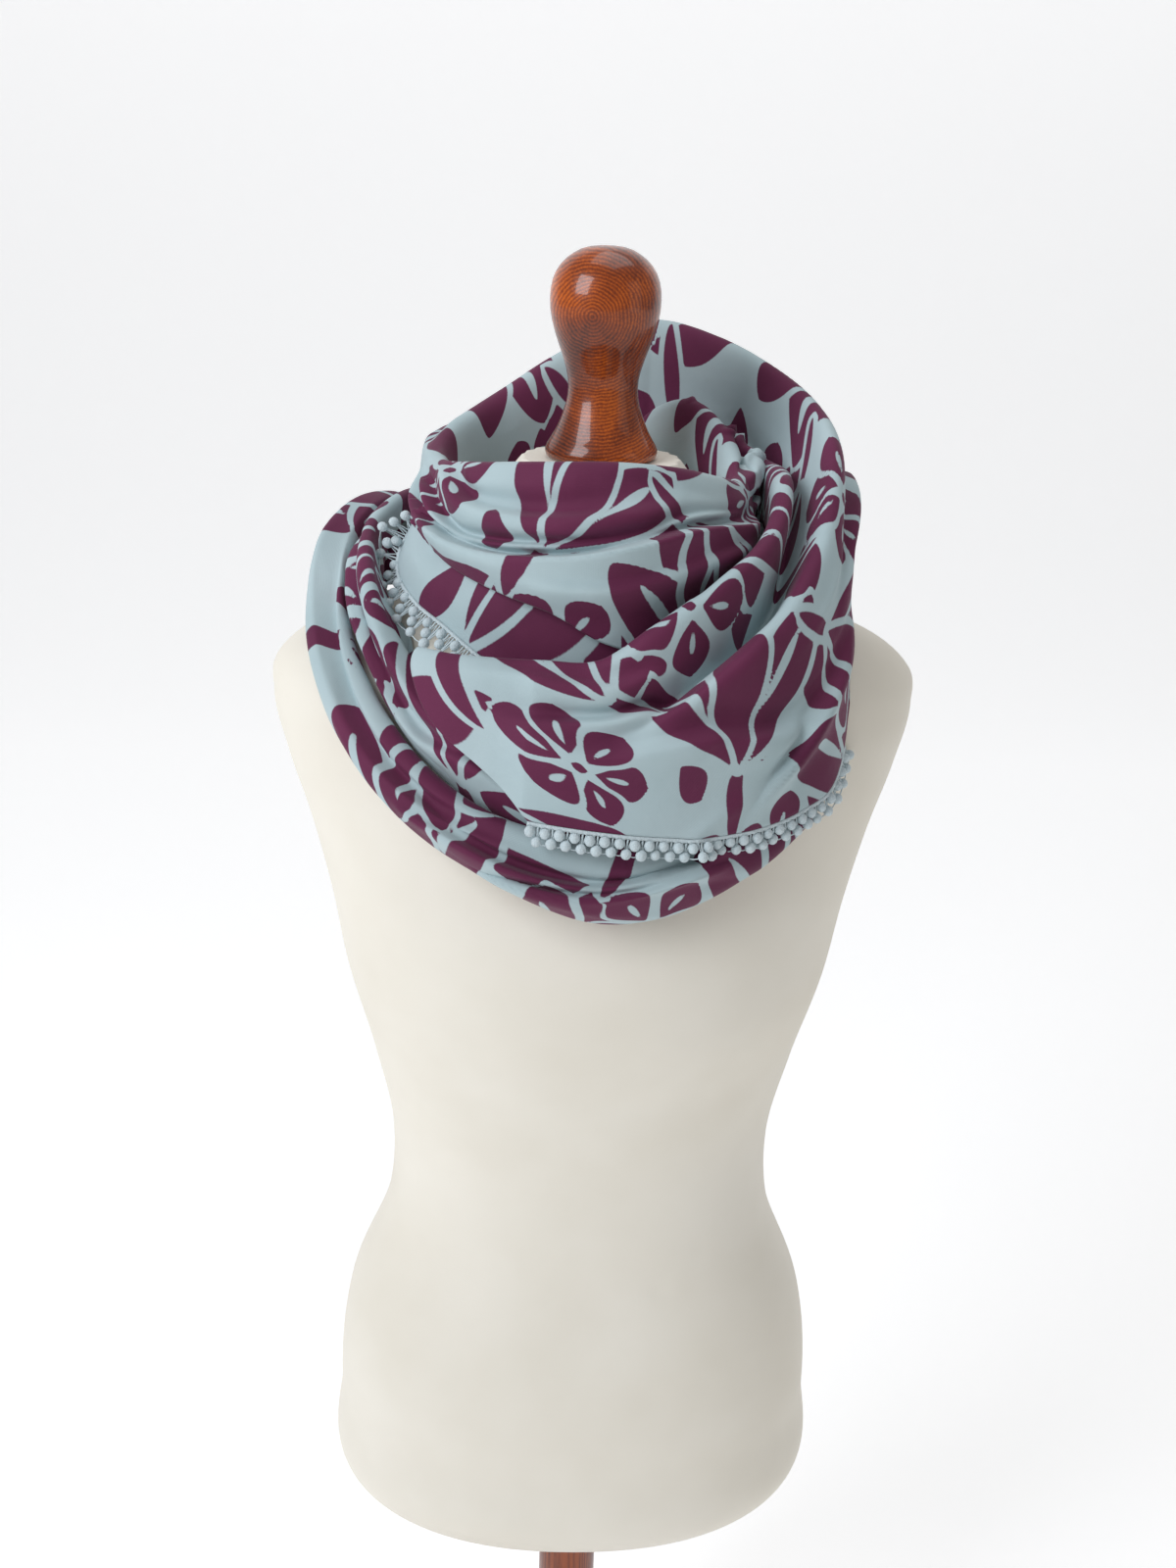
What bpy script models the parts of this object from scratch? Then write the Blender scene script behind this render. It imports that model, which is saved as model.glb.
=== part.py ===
"""A large triangle scarf with a bobble trim, wound twice round the neck of a dress form.

The dress form has a padded body, a turned wooden finial, a pole and a round foot.
The scarf is one long cloth, so each stretch of it that shows is its own object.
Units are metres, +Z is up, the form faces -Y and the origin is under the middle of the foot.

A place on the scarf is given by three values:
  azimuth  degrees round the neck, 0 at the front, 90 at +X, 180 at the back
  out      distance from the form's middle line
  up       height above the form's shoulder line
"""

import math

import bmesh
import bpy
import numpy as np
from mathutils.bvhtree import BVHTree

MM = 0.001

# Driving dimensions of the dress form
FOOT_RADIUS = 160 * MM
FOOT_HEIGHT = 26 * MM
POLE_RADIUS = 22 * MM
POLE_LENGTH = 326 * MM
BODY_BOTTOM = FOOT_HEIGHT + POLE_LENGTH
SHOULDER_HEIGHT = BODY_BOTTOM + 648 * MM
NECK_HEIGHT = SHOULDER_HEIGHT + 117 * MM
BODY_SIDES = 32

# Driving dimensions of the scarf
CLOTH = 2.0 * MM
GAP = 0.35 * MM
BODY_MARGIN = 1.65 * MM
LAYER_MARGIN = 0.3 * MM
AZIMUTH_STEP = 9.0
SEAM = 0.5
BOBBLE_PITCH = 8.2 * MM
BOBBLE_RADIUS = 2.9 * MM
FIRST_ROW_DROP = 0.7 * MM
BOBBLE_ROW_DROP = 5.3 * MM
BRAID_HEIGHT = 2.0 * MM
BRAID_PARTING = 0.45 * MM
BRAID_THICKNESS = 1.8 * MM

# Where each loop starts and ends, in degrees round the neck
LOWER_LOOP_ENDS = (-252, 52)
UPPER_LOOP_ENDS = (-248, 8)

# How many points each stretch of cloth has across its width
ACROSS = {
    "lower_loop": 14,
    "upper_loop": 13,
    "front_cowl": 32,
    "tucked_end": 18,
    "back_collar": 20,
    "trimmed_corner": 7,
    "front_panel": 22,
}
PANEL_STATIONS = 18
CORNER_STATIONS = 21

# The trims leave out these stations at the ends of the cloth's edge
PANEL_UNTRIMMED = 4
SIDE_UNTRIMMED = 2
CORNER_UNTRIMMED = (2, 5)

CREAM = (0.86, 0.81, 0.72)
WOOD = (0.28, 0.075, 0.018)
PLUM = (0.12, 0.025, 0.055)
SAGE = (0.42, 0.52, 0.52)
PALE_BLUE = (0.62, 0.72, 0.74)


def table(columns, *rows):
    """Rows of numbers as a dictionary of arrays, one for each named column."""
    values = np.array(rows, float)
    return {name: values[:, i] for i, name in enumerate(columns.split())}


def between(rows, key, column, at):
    """A smooth curve through a table's column, read at the given values of its key column."""
    x = rows[key]
    y = rows[column]
    slope = np.gradient(y, x)
    i = np.clip(np.searchsorted(x, at) - 1, 0, len(x) - 2)
    span = x[i + 1] - x[i]
    t = np.clip((at - x[i]) / span, 0.0, 1.0)
    rise = (2 * t**3 - 3 * t**2 + 1) * y[i] + (3 * t**2 - 2 * t**3) * y[i + 1]
    bend = (t**3 - 2 * t**2 + t) * slope[i] + (t**3 - t**2) * slope[i + 1]
    return rise + span * bend


def soft_profile(corners, count):
    """A cubic B-spline over each station's corner points, which it rounds as cloth does."""
    ends = (corners[:, :1], corners[:, :1], corners, corners[:, -1:], corners[:, -1:])
    cage = np.concatenate(ends, axis=1)
    spans = cage.shape[1] - 3
    at = np.linspace(0, spans, count)
    first = np.minimum(at.astype(int), spans - 1)
    t = at - first
    weights = (
        (1 - t) ** 3,
        3 * t**3 - 6 * t**2 + 4,
        -3 * t**3 + 3 * t**2 + 3 * t + 1,
        t**3,
    )
    return sum(w[None, :, None] * cage[:, first + k] for k, w in enumerate(weights)) / 6


# The form's body, from the bottom up: half widths and depths of its level sections
BODY = table(
    "up half_width front back squareness",
    (-648, 158, 96, 104, 2.2),
    (-640, 165, 103, 111, 2.2),
    (-560, 172, 112, 122, 2.2),
    (-480, 163, 106, 112, 2.2),
    (-400, 134, 92, 88, 2.2),
    (-340, 130, 90, 84, 2.2),
    (-270, 142, 108, 88, 2.2),
    (-200, 158, 134, 96, 2.2),
    (-150, 166, 136, 102, 2.2),
    (-100, 178, 121, 106, 2.25),
    (-60, 190, 109, 106, 2.3),
    (-25, 197, 98, 102, 2.3),
    (-5, 194, 90, 97, 2.3),
    (8, 178, 84, 91, 2.3),
    (22, 146, 78, 84, 2.25),
    (36, 110, 70, 74, 2.15),
    (50, 78, 62, 64, 2.05),
    (66, 59, 56, 57, 2.0),
    (90, 52, 52, 52, 2.0),
    (112, 50, 50, 50, 2.0),
    (117, 46, 46, 46, 2.0),
)


# The turned pieces: radius and height in metres, down their outer sides
FINIAL_PROFILE = [
    (radius * MM, NECK_HEIGHT + GAP + height * MM)
    for radius, height in (
        (0, 118), (10, 117.2), (19, 113.5), (26, 107.5), (30.5, 99), (31.8, 89), (30.4, 77),
        (26, 63), (21.6, 50), (20.2, 40), (21.6, 30), (27, 16), (32, 7.5), (33, 3), (31, 0),
        (0, 0),
    )
]
POLE_PROFILE = [
    (0, BODY_BOTTOM - GAP),
    (POLE_RADIUS, BODY_BOTTOM - GAP),
    (POLE_RADIUS, FOOT_HEIGHT + GAP),
    (0, FOOT_HEIGHT + GAP),
]
FOOT_PROFILE = [
    (radius * MM, height * MM)
    for radius, height in (
        (0, 26), (40, 26), (46, 24.5), (56, 20), (132, 14.5), (150, 12), (158, 7.5),
        (160, 3.5), (158, 0), (0, 0),
    )
]


def body_radius_ratio(x, y, z):
    """How far out a point is on the form's level section: 1 on the surface, less inside."""
    up = (z - SHOULDER_HEIGHT) / MM
    half_width = between(BODY, "up", "half_width", up) * MM
    front = between(BODY, "up", "front", up) * MM
    back = between(BODY, "up", "back", up) * MM
    power = between(BODY, "up", "squareness", up)
    depth = np.where(y < 0, front, back)
    return (np.abs(x / half_width) ** power + np.abs(y / depth) ** power) ** (1 / power)


def lift_off_body(points, clearance):
    """Moves the points that are nearer to the form's body than the clearance straight out from it."""
    step = 0.2 * MM
    for _ in range(4):
        x, y, z = points[..., 0], points[..., 1], points[..., 2]
        ratio = body_radius_ratio(x, y, z)
        slope = np.stack(
            (
                body_radius_ratio(x + step, y, z) - ratio,
                body_radius_ratio(x, y + step, z) - ratio,
                body_radius_ratio(x, y, z + step) - ratio,
            ),
            axis=-1,
        ) / step
        steepness = np.maximum(np.linalg.norm(slope, axis=-1), 1.0)
        distance = (ratio - 1) / steepness
        push = np.maximum(clearance - distance, 0.0)
        inside = z < NECK_HEIGHT
        points = points + (push * inside / steepness)[..., None] * slope
    return points


def place(azimuth, out, up):
    """Points in space from azimuths in degrees and out and up in millimetres."""
    turn = np.radians(azimuth)
    return np.stack(
        (
            out * MM * np.sin(turn),
            -out * MM * np.cos(turn),
            up * MM + SHOULDER_HEIGHT,
        ),
        axis=-1,
    )


# The folds of a wrap: how many millimetres of cloth each ridge lies below the crest
FOLD_COLUMNS = "start end at_start at_middle at_end width height"

# The two lower loops: a rolled crest, a long outer leaf and a short inner one, in millimetres.
LOOP_COLUMNS = "azimuth crest_out crest_up low_out low_up belly lip inner reach tuck_in tuck_up"

LOWER_LOOP = table(
    LOOP_COLUMNS,
    (-252, 140, 40, 150, 8, 4, 6, 18, 0, 8, 3),
    (-230, 141, 36, 152, -6, 6, 7, 20, 0, 14, 2),
    (-205, 142, 32, 152, -20, 8, 8, 22, 0, 22, 0),
    (-180, 143, 34, 152, -24, 9, 8, 22, 0, 26, 0),
    (-155, 146, 46, 154, -12, 9, 8, 22, 0, 22, 0),
    (-130, 150, 68, 159, 14, 8, 8, 22, 0, 16, -2),
    (-115, 154, 78, 163, 24, 7, 8.5, 22, 0, 12, -4),
    (-102, 157, 76, 166, 26, 7, 9, 22, 0, 12, -4),
    (-90, 160, 65, 168, 22, 7, 7, 20, 0, 12, -6),
    (-75, 163, 40, 170, 10, 7, 5.5, 16, 0, 12, -6),
    (-60, 163, 2, 168, -30, 8, 6.5, 13, 0, 14, 0),
    (-45, 160, -31, 158, -62, 8, 8, 16, 0, 16, 3),
    (-22, 154, -60, 156, -92, 8, 8, 20, 0, 20, 4),
    (0, 150, -68, 151, -116, 8, 8, 20, 0, 20, 4),
    (20, 149, -66, 150, -111, 8, 7, 20, 0, 18, 4),
    (32, 151, -63, 153, -99, 6, 5.5, 16, 0, 14, 4),
    (42, 155, -60, 157, -85, 4, 4, 12, 0, 9, 3),
    (52, 158, -58, 160, -70, 2, 2.5, 8, 0, 4, 2),
)
LOWER_FOLDS = table(
    FOLD_COLUMNS,
    (-70, 50, 44, 24, 20, 14, 5),
    (-50, 40, 62, 40, 44, 12, 4),
    (-236, -100, 16, 22, 18, 14, 4),
    (-140, -50, 20, 14, 24, 12, 3),
)

UPPER_LOOP = table(
    LOOP_COLUMNS,
    (-248, 132, 68, 119, 42, 4, 6, 18, 0, 4, 0),
    (-225, 130, 63, 118, 38, 4, 6, 18, 0, 4, 0),
    (-200, 129, 60, 117, 32, 4, 6, 18, 0, 4, 0),
    (-180, 129, 60, 117, 32, 4, 6, 18, 0, 4, 0),
    (-155, 130, 70, 118, 42, 3, 6, 18, 0, 4, 0),
    (-130, 131, 80, 122, 52, 3, 5.5, 17, 0, 4, 0),
    (-115, 131, 84, 125, 56, 3, 5, 15, 0, 4, 0),
    (-102, 134, 82, 129, 54, 3, 5, 13, 0, 4, 0),
    (-90, 140, 75, 137, 46, 2, 4.5, 20, 2, 4, 0),
    (-76, 145, 64, 144, 34, 2, 5, 23, 6, 4, 0),
    (-67, 148, 53, 146, 12, 2, 5, 20, 9, 4, 0),
    (-60, 148, 36, 142, -8, 2, 5.5, 17, 13, 4, 0),
    (-54, 143, 15, 139, -24, 3, 6.5, 18, 4, 4, 0),
    (-46, 138, -5, 138, -38, 4, 7, 18, 0, 4, 0),
    (-34, 136, -18, 135, -56, 4, 7, 20, 0, 4, 0),
    (-16, 133, -30, 131, -72, 4, 7, 20, 0, 4, 0),
    (8, 131, -38, 128, -80, 4, 6, 20, 0, 4, 0),
)
UPPER_FOLDS = table(
    FOLD_COLUMNS,
    (-150, -58, 12, 22, 16, 10, 3),
    (-236, -130, 14, 24, 18, 14, 3),
)

# One long stretch: it starts as the front panel, rises on the right, stands up behind the
# finial as the collar and comes round the left to the front again as the cowl. Its section has
# an inner crest, a valley, an outer crest and a leaf. Where "crests" is -1 only the inner crest
# is there, at 0 both are, and at 1 only the outer one is.
STRETCH_COLUMNS = (
    "azimuth inner_out inner_up valley_out valley_up outer_out outer_up low_out low_up "
    "belly lip hem crests"
)
STRETCH = table(
    STRETCH_COLUMNS,
    (-64, 150, 14, 152, 0, 154, -10, 163, -30, 2, 3, 6, -1.0),
    (-52, 148, 26, 150, 0, 153, -10, 161, -44, 2, 3, 8, -1.0),
    (-36, 142, 27, 147, 0, 150, -10, 160, -48, 2, 4.5, 14, -1.0),
    (-15, 134, 27, 141, 0, 148, -10, 159, -50, 2, 7, 22, -1.0),
    (0, 132, 29, 136, 0, 146, -12, 159, -54, 2, 7, 24, -0.8),
    (12, 131, 46, 127, 2, 147, 2, 159, -58, 3, 7, 24, -0.2),
    (23, 130, 60, 122, 12, 148, 20, 159, -61, 3, 7, 22, 0.0),
    (34, 129, 72, 119, 22, 149, 38, 161, -61, 3, 7, 22, 0.0),
    (45, 127, 82, 116, 32, 149, 54, 164, -57, 3, 7, 22, 0.0),
    (55, 124, 92, 114, 44, 147, 72, 167, -47, 4, 7, 22, 0.0),
    (63, 121, 102, 111, 58, 146, 90, 163, -18, 4, 7, 22, 0.0),
    (71, 117, 110, 109, 72, 144, 109, 152, 16, 4, 7, 28, 0.0),
    (80, 114, 112, 107, 84, 141, 126, 147, 30, 5, 7, 30, 0.0),
    (100, 109, 110, 106, 94, 135, 146, 147, 36, 6, 7, 34, 0.1),
    (120, 104, 104, 106, 94, 128, 162, 148, 38, 6, 7, 40, 0.4),
    (140, 100, 96, 104, 94, 121, 176, 146, 44, 6, 8, 70, 0.8),
    (160, 96, 92, 100, 94, 112, 184, 142, 56, 8, 8, 96, 1.0),
    (180, 92, 90, 96, 94, 106, 175, 134, 70, 8, 8, 92, 1.0),
    (200, 90, 88, 94, 94, 104, 158, 120, 78, 8, 9, 76, 1.0),
    (215, 90, 88, 94, 94, 104, 144, 114, 76, 7, 10, 62, 1.0),
    (230, 90, 88, 94, 94, 105, 133, 113, 76, 6, 10, 52, 1.0),
    (248, 90, 88, 94, 94, 106, 124, 111, 76, 4, 10, 44, 1.0),
    (264, 90, 88, 94, 94, 105, 117, 107, 70, 2, 9, 38, 1.0),
    (280, 90, 80, 94, 84, 101, 114, 106, 82, 2, 8, 36, 1.0),
    (300, 80, 80, 84, 84, 95, 118, 103, 70, 3, 7, 32, 1.0),
    (330, 80, 80, 84, 84, 91, 124, 104, 57, 4, 7, 34, 1.0),
    (346, 80, 80, 84, 84, 90, 126, 107, 50, 5, 7, 35, 1.0),
    (360, 80, 80, 84, 84, 90, 127, 108, 36, 7, 7, 36, 1.0),
    (388, 80, 80, 84, 84, 90, 123, 102, 30, 6, 7, 34, 1.0),
    (412, 80, 80, 84, 84, 90, 114, 98, 50, 4, 7, 32, 1.0),
    (430, 80, 80, 84, 84, 88, 108, 94, 62, 3, 7, 30, 1.0),
    (445, 80, 80, 84, 84, 86, 113, 88, 70, 3, 7, 34, 1.0),
    (465, 80, 80, 84, 84, 82, 130, 84, 74, 4, 8, 46, 1.0),
    (485, 80, 80, 84, 84, 78, 142, 82, 76, 4, 8, 54, 1.0),
    (508, 80, 80, 84, 84, 75, 136, 80, 80, 3, 7, 44, 1.0),
    (530, 80, 80, 84, 84, 72, 112, 78, 84, 2, 6, 22, 1.0),
)
PANEL_END = 80
COLLAR_END = 280
COWL_END = 432
TUCKED_END = 530
SIDE_TRIM_END = 126
PANEL_LEFT_EDGE = table("across azimuth", (0.0, -45), (0.3, -44), (0.55, -38), (0.8, -25), (1.0, -14))

# The swags of the cowl, and the softer folds of the panel, the collar and the tucked end
STRETCH_FOLDS = table(
    FOLD_COLUMNS,
    (252, 414, 10, 34, 16, 12, 13),
    (240, 448, 20, 54, 26, 12, 12),
    (232, 450, 36, 76, 44, 13, 11),
    (244, 392, 40, 52, 128, 14, 9),
    (-44, 26, 34, 62, 80, 22, 5),
    (20, 96, 66, 50, 60, 20, 6),
    (84, 150, 40, 52, 60, 22, 5),
    (130, 212, 46, 40, 50, 18, 6),
    (438, 500, 6, 20, 12, 8, 6),
    (452, 526, 30, 16, 26, 8, 6),
    (436, 492, 34, 42, 46, 9, 3),
)

# The trimmed corner below the cowl: each row runs from its hidden upper side to its edge
CORNER_COLUMNS = "station top_azimuth top_out top_up edge_azimuth edge_out edge_up"
TRIMMED_CORNER = table(
    CORNER_COLUMNS,
    (0, -72, 104, 96, -74, 108, 85),
    (1, -70, 103, 92, -77, 114, 73),
    (2, -66, 101, 88, -78, 119, 62),
    (3, -57, 98, 83, -73, 121, 52),
    (4, -48, 98, 78, -62, 118, 42),
    (5, -38, 98, 74, -50, 114, 34),
    (6, -27, 99, 70, -36, 113, 22),
    (7, -13, 98, 66, -18, 108, 2),
    (8, -1, 97, 60, -2, 102, -4),
)


def fold_lift(folds, azimuth, down):
    """How far the folds lift the leaf: each ridge rises slowly from above and drops steeply below."""
    lift = np.zeros(np.broadcast(azimuth, down).shape)
    for start, end, first, middle, last, width, height in zip(*folds.values()):
        t = np.clip((azimuth - start) / (end - start), 0, 1)
        ridge = (1 - t) * (1 - 2 * t) * first + 4 * t * (1 - t) * middle + t * (2 * t - 1) * last
        below = (down - ridge) / width
        steep = np.where(below < 0, 1.0, 2.3)
        lift += height * np.sin(np.pi * t) ** 0.9 * np.exp(-((below * steep) ** 2))
    return lift


def even_section(corners, crest, count):
    """Points at even steps along each rounded section, and how far each lies below the crest."""
    dense = soft_profile(corners, 201)
    steps = np.linalg.norm(np.diff(dense, axis=1), axis=-1)
    along = np.concatenate((np.zeros((len(dense), 1)), np.cumsum(steps, axis=1)), axis=1)
    share = np.linspace(0, 1, count)
    even = np.empty((len(dense), count, 2))
    down = np.empty((len(dense), count))
    crest_sample = int(200 * crest / (corners.shape[1] - 1))
    for i, (section, length) in enumerate(zip(dense, along)):
        wanted = share * length[-1]
        even[i, :, 0] = np.interp(wanted, length, section[:, 0])
        even[i, :, 1] = np.interp(wanted, length, section[:, 1])
        down[i] = wanted - length[crest_sample]
    return even, down


def raise_folds(section, down, azimuth, folds):
    """Lifts the folds out of the leaf below the crest and lets them sag a little."""
    lift = fold_lift(folds, azimuth, down) * np.clip(down / 8, 0, 1)
    section[..., 0] += lift
    section[..., 1] -= 0.7 * lift
    return section


def loop_corners(rows, azimuth):
    """The corner points of a loop's section: inner hem, rolled crest, belly, low edge and tuck."""
    value = {name: between(rows, "azimuth", name, azimuth) for name in rows}
    lip = value["lip"]
    out, up = value["crest_out"], value["crest_up"]
    low_out, low_up, belly = value["low_out"], value["low_up"], value["belly"]
    corners = (
        (out - 2 * lip - 1 - value["reach"], up - value["inner"]),
        (out - 2 * lip, up - 1.6 * lip),
        (out - 1.9 * lip, up),
        (out - lip, up + 0.5 * lip),
        (out, up),
        (out + 0.25 * belly + 0.1 * (low_out - out), up - 0.2 * (up - low_up)),
        (out + belly + 0.4 * (low_out - out), up - 0.45 * (up - low_up)),
        (out + belly + 0.75 * (low_out - out), up - 0.75 * (up - low_up)),
        (low_out, low_up),
        (low_out - value["tuck_in"], low_up + value["tuck_up"]),
    )
    return np.stack([np.stack(c, axis=-1) for c in corners], axis=1)


LOOP_CREST = 3


def stretch_corners(azimuth):
    """The corner points of the long stretch's section, for azimuths in one array."""
    value = {name: between(STRETCH, "azimuth", name, azimuth) for name in STRETCH}
    lip = value["lip"]
    inner = np.stack((value["inner_out"], value["inner_up"]), axis=-1)
    valley = np.stack((value["valley_out"], value["valley_up"]), axis=-1)
    outer = np.stack((value["outer_out"], value["outer_up"]), axis=-1)
    low = np.stack((value["low_out"], value["low_up"]), axis=-1)

    def off(point, out, up):
        return point + np.stack(np.broadcast_arrays(out, up), axis=-1)

    def along(start, end, share, bulge=0.0):
        return off(start + (end - start) * share, bulge, 0 * lip)

    inner_hem = off(inner, -2 * lip - 1, -value["hem"])
    inner_roll = (
        off(inner, -2 * lip, -1.6 * lip),
        off(inner, -1.9 * lip, 0.0),
        off(inner, -lip, 0.5 * lip),
        inner,
    )
    outer_roll = (
        off(outer, -1.6 * lip, 0.0),
        off(outer, -0.9 * lip, 0.5 * lip),
        outer,
    )
    bulge = value["belly"]
    leaf = (
        along(outer, low, 0.2, 0.5 * bulge),
        along(outer, low, 0.45, bulge),
        along(outer, low, 0.75, 0.8 * bulge),
        low,
    )
    both = (
        inner_hem,
        *inner_roll,
        0.45 * off(inner, 2.0, 0.0) + 0.55 * off(valley, 1.0, 0.0),
        off(valley, 2.0, 0.0),
        off(valley, 6.0, -3.0),
        0.5 * off(valley, 8.0, 0.0) + 0.5 * off(outer, -1.6 * lip, 0.0),
        *outer_roll,
        *leaf,
    )
    inner_only = (
        inner_hem,
        *inner_roll,
        *(along(inner, low, share, bulge) for share in (0.08, 0.16, 0.24, 0.32, 0.40, 0.48, 0.56)),
        *(along(inner, low, share, bulge) for share in (0.66, 0.77, 0.88)),
        low,
    )
    outer_hem = off(outer, -2.4 * lip - 1, -value["hem"])
    outer_inside = off(outer, -2 * lip, -1.6 * lip)
    outer_only = (
        *(along(outer_hem, outer_inside, share) for share in (0, 0.12, 0.25, 0.37, 0.5)),
        *(along(outer_hem, outer_inside, share) for share in (0.62, 0.75, 0.87, 1)),
        *outer_roll,
        *leaf,
    )
    crests = value["crests"][:, None, None]
    both, inner_only, outer_only = (np.stack(c, axis=1) for c in (both, inner_only, outer_only))
    return (
        both * (1 - abs(crests))
        + inner_only * np.clip(-crests, 0, 1)
        + outer_only * np.clip(crests, 0, 1)
    )


STRETCH_CREST = 10


def loop_grid(rows, azimuth, count, folds=None):
    """The middle surface of a loop, a row of points for each azimuth."""
    section, down = even_section(loop_corners(rows, azimuth), LOOP_CREST, count)
    if folds is not None:
        section = raise_folds(section, down, azimuth[:, None], folds)
    return place(azimuth[:, None], section[..., 0], section[..., 1])


def stretch_grid(azimuth, count):
    """The middle surface of a part of the long stretch, a row of points for each azimuth."""
    section, down = even_section(stretch_corners(azimuth), STRETCH_CREST, count)
    section = raise_folds(section, down, azimuth[:, None], STRETCH_FOLDS)
    return place(azimuth[:, None], section[..., 0], section[..., 1])


def panel_grid(count_round, count):
    """The long stretch's first part, whose left edge slants down to the trim."""
    across = np.linspace(0, 1, count)
    left = between(PANEL_LEFT_EDGE, "across", "azimuth", across)
    share = np.linspace(0, 1, count_round)[:, None]
    azimuth = left + (PANEL_END - left) * share
    points = np.empty(azimuth.shape + (3,))
    for j in range(count):
        points[:, j] = stretch_grid(azimuth[:, j], count)[:, j]
    return points


def corner_grid(count_round, count):
    """The trimmed corner's middle surface, from its hidden upper side to its edge."""
    station = np.linspace(0, 8, count_round)
    value = {name: between(TRIMMED_CORNER, "station", name, station) for name in TRIMMED_CORNER}
    share = np.linspace(0, 1, count)[None, :]
    bulge = 4 * np.sin(np.pi * share)

    def mix(name):
        return value["top_" + name][:, None] * (1 - share) + value["edge_" + name][:, None] * share

    return place(mix("azimuth"), mix("out") + bulge, mix("up"))


def grid_quads(rounds, count, closed_round=False):
    """The quads of a grid, whose normals point out of the roll."""
    numbers = np.arange(rounds * count).reshape(rounds, count)
    if closed_round:
        numbers = np.concatenate((numbers, numbers[:1]))
    quads = np.stack(
        (numbers[:-1, :-1], numbers[:-1, 1:], numbers[1:, 1:], numbers[1:, :-1]),
        axis=-1,
    )
    return quads.reshape(-1, 4).tolist()


def keep_clear(points, rolls, clearance=CLOTH + GAP + LAYER_MARGIN, reach=14 * MM):
    """Moves points that lie too near to other stretches of cloth, or in them, off their outer sides."""
    flat = points.reshape(-1, 3).copy()
    for roll in rolls:
        tree = BVHTree.FromPolygons(roll.reshape(-1, 3).tolist(), grid_quads(*roll.shape[:2]))
        for i, point in enumerate(flat):
            nearest, normal, _, distance = tree.find_nearest(point.tolist())
            if distance > reach:
                continue
            height = float(np.dot(point - nearest, normal))
            if abs(height) > 0.7 * distance and height < clearance:
                flat[i] = point + (clearance - height) * np.array(normal)
    return flat.reshape(points.shape)


def material(name, colour, roughness, metallic=0.0):
    made = bpy.data.materials.new(name)
    made.use_nodes = True
    shader = made.node_tree.nodes["Principled BSDF"]
    shader.inputs["Base Color"].default_value = (*colour, 1.0)
    shader.inputs["Roughness"].default_value = roughness
    shader.inputs["Metallic"].default_value = metallic
    return made


def off_body(points):
    return lift_off_body(points, GAP + BODY_MARGIN + CLOTH / 2)


def add_object(name, mesh, finish, collection):
    thing = bpy.data.objects.new(name, mesh)
    thing.data.materials.append(finish)
    collection.objects.link(thing)
    return thing


def grid_mesh(name, points, closed_round=False):
    """A mesh of quads over a grid of points, round by across."""
    mesh = bpy.data.meshes.new(name)
    quads = grid_quads(*points.shape[:2], closed_round)
    mesh.from_pydata(points.reshape(-1, 3).tolist(), [], quads)
    mesh.validate()
    return mesh


def add_cloth(name, points, finish, collection):
    """A stretch of cloth: the middle surface, thickened equally to both sides."""
    thing = add_object(name, grid_mesh(name, points), finish, collection)
    wall = thing.modifiers.new("cloth thickness", "SOLIDIFY")
    wall.thickness = CLOTH
    wall.offset = 0.0
    thing.data.shade_smooth()
    return thing


def even_path(points, step):
    """Points at even steps along a path, about as far apart as asked."""
    along = np.concatenate(([0.0], np.cumsum(np.linalg.norm(np.diff(points, axis=0), axis=1))))
    count = int(round(along[-1] / step)) + 1
    wanted = np.linspace(0, along[-1], count)
    return np.stack([np.interp(wanted, along, points[:, k]) for k in range(3)], axis=1)


def unit(vectors):
    return vectors / np.linalg.norm(vectors, axis=-1, keepdims=True)


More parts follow.
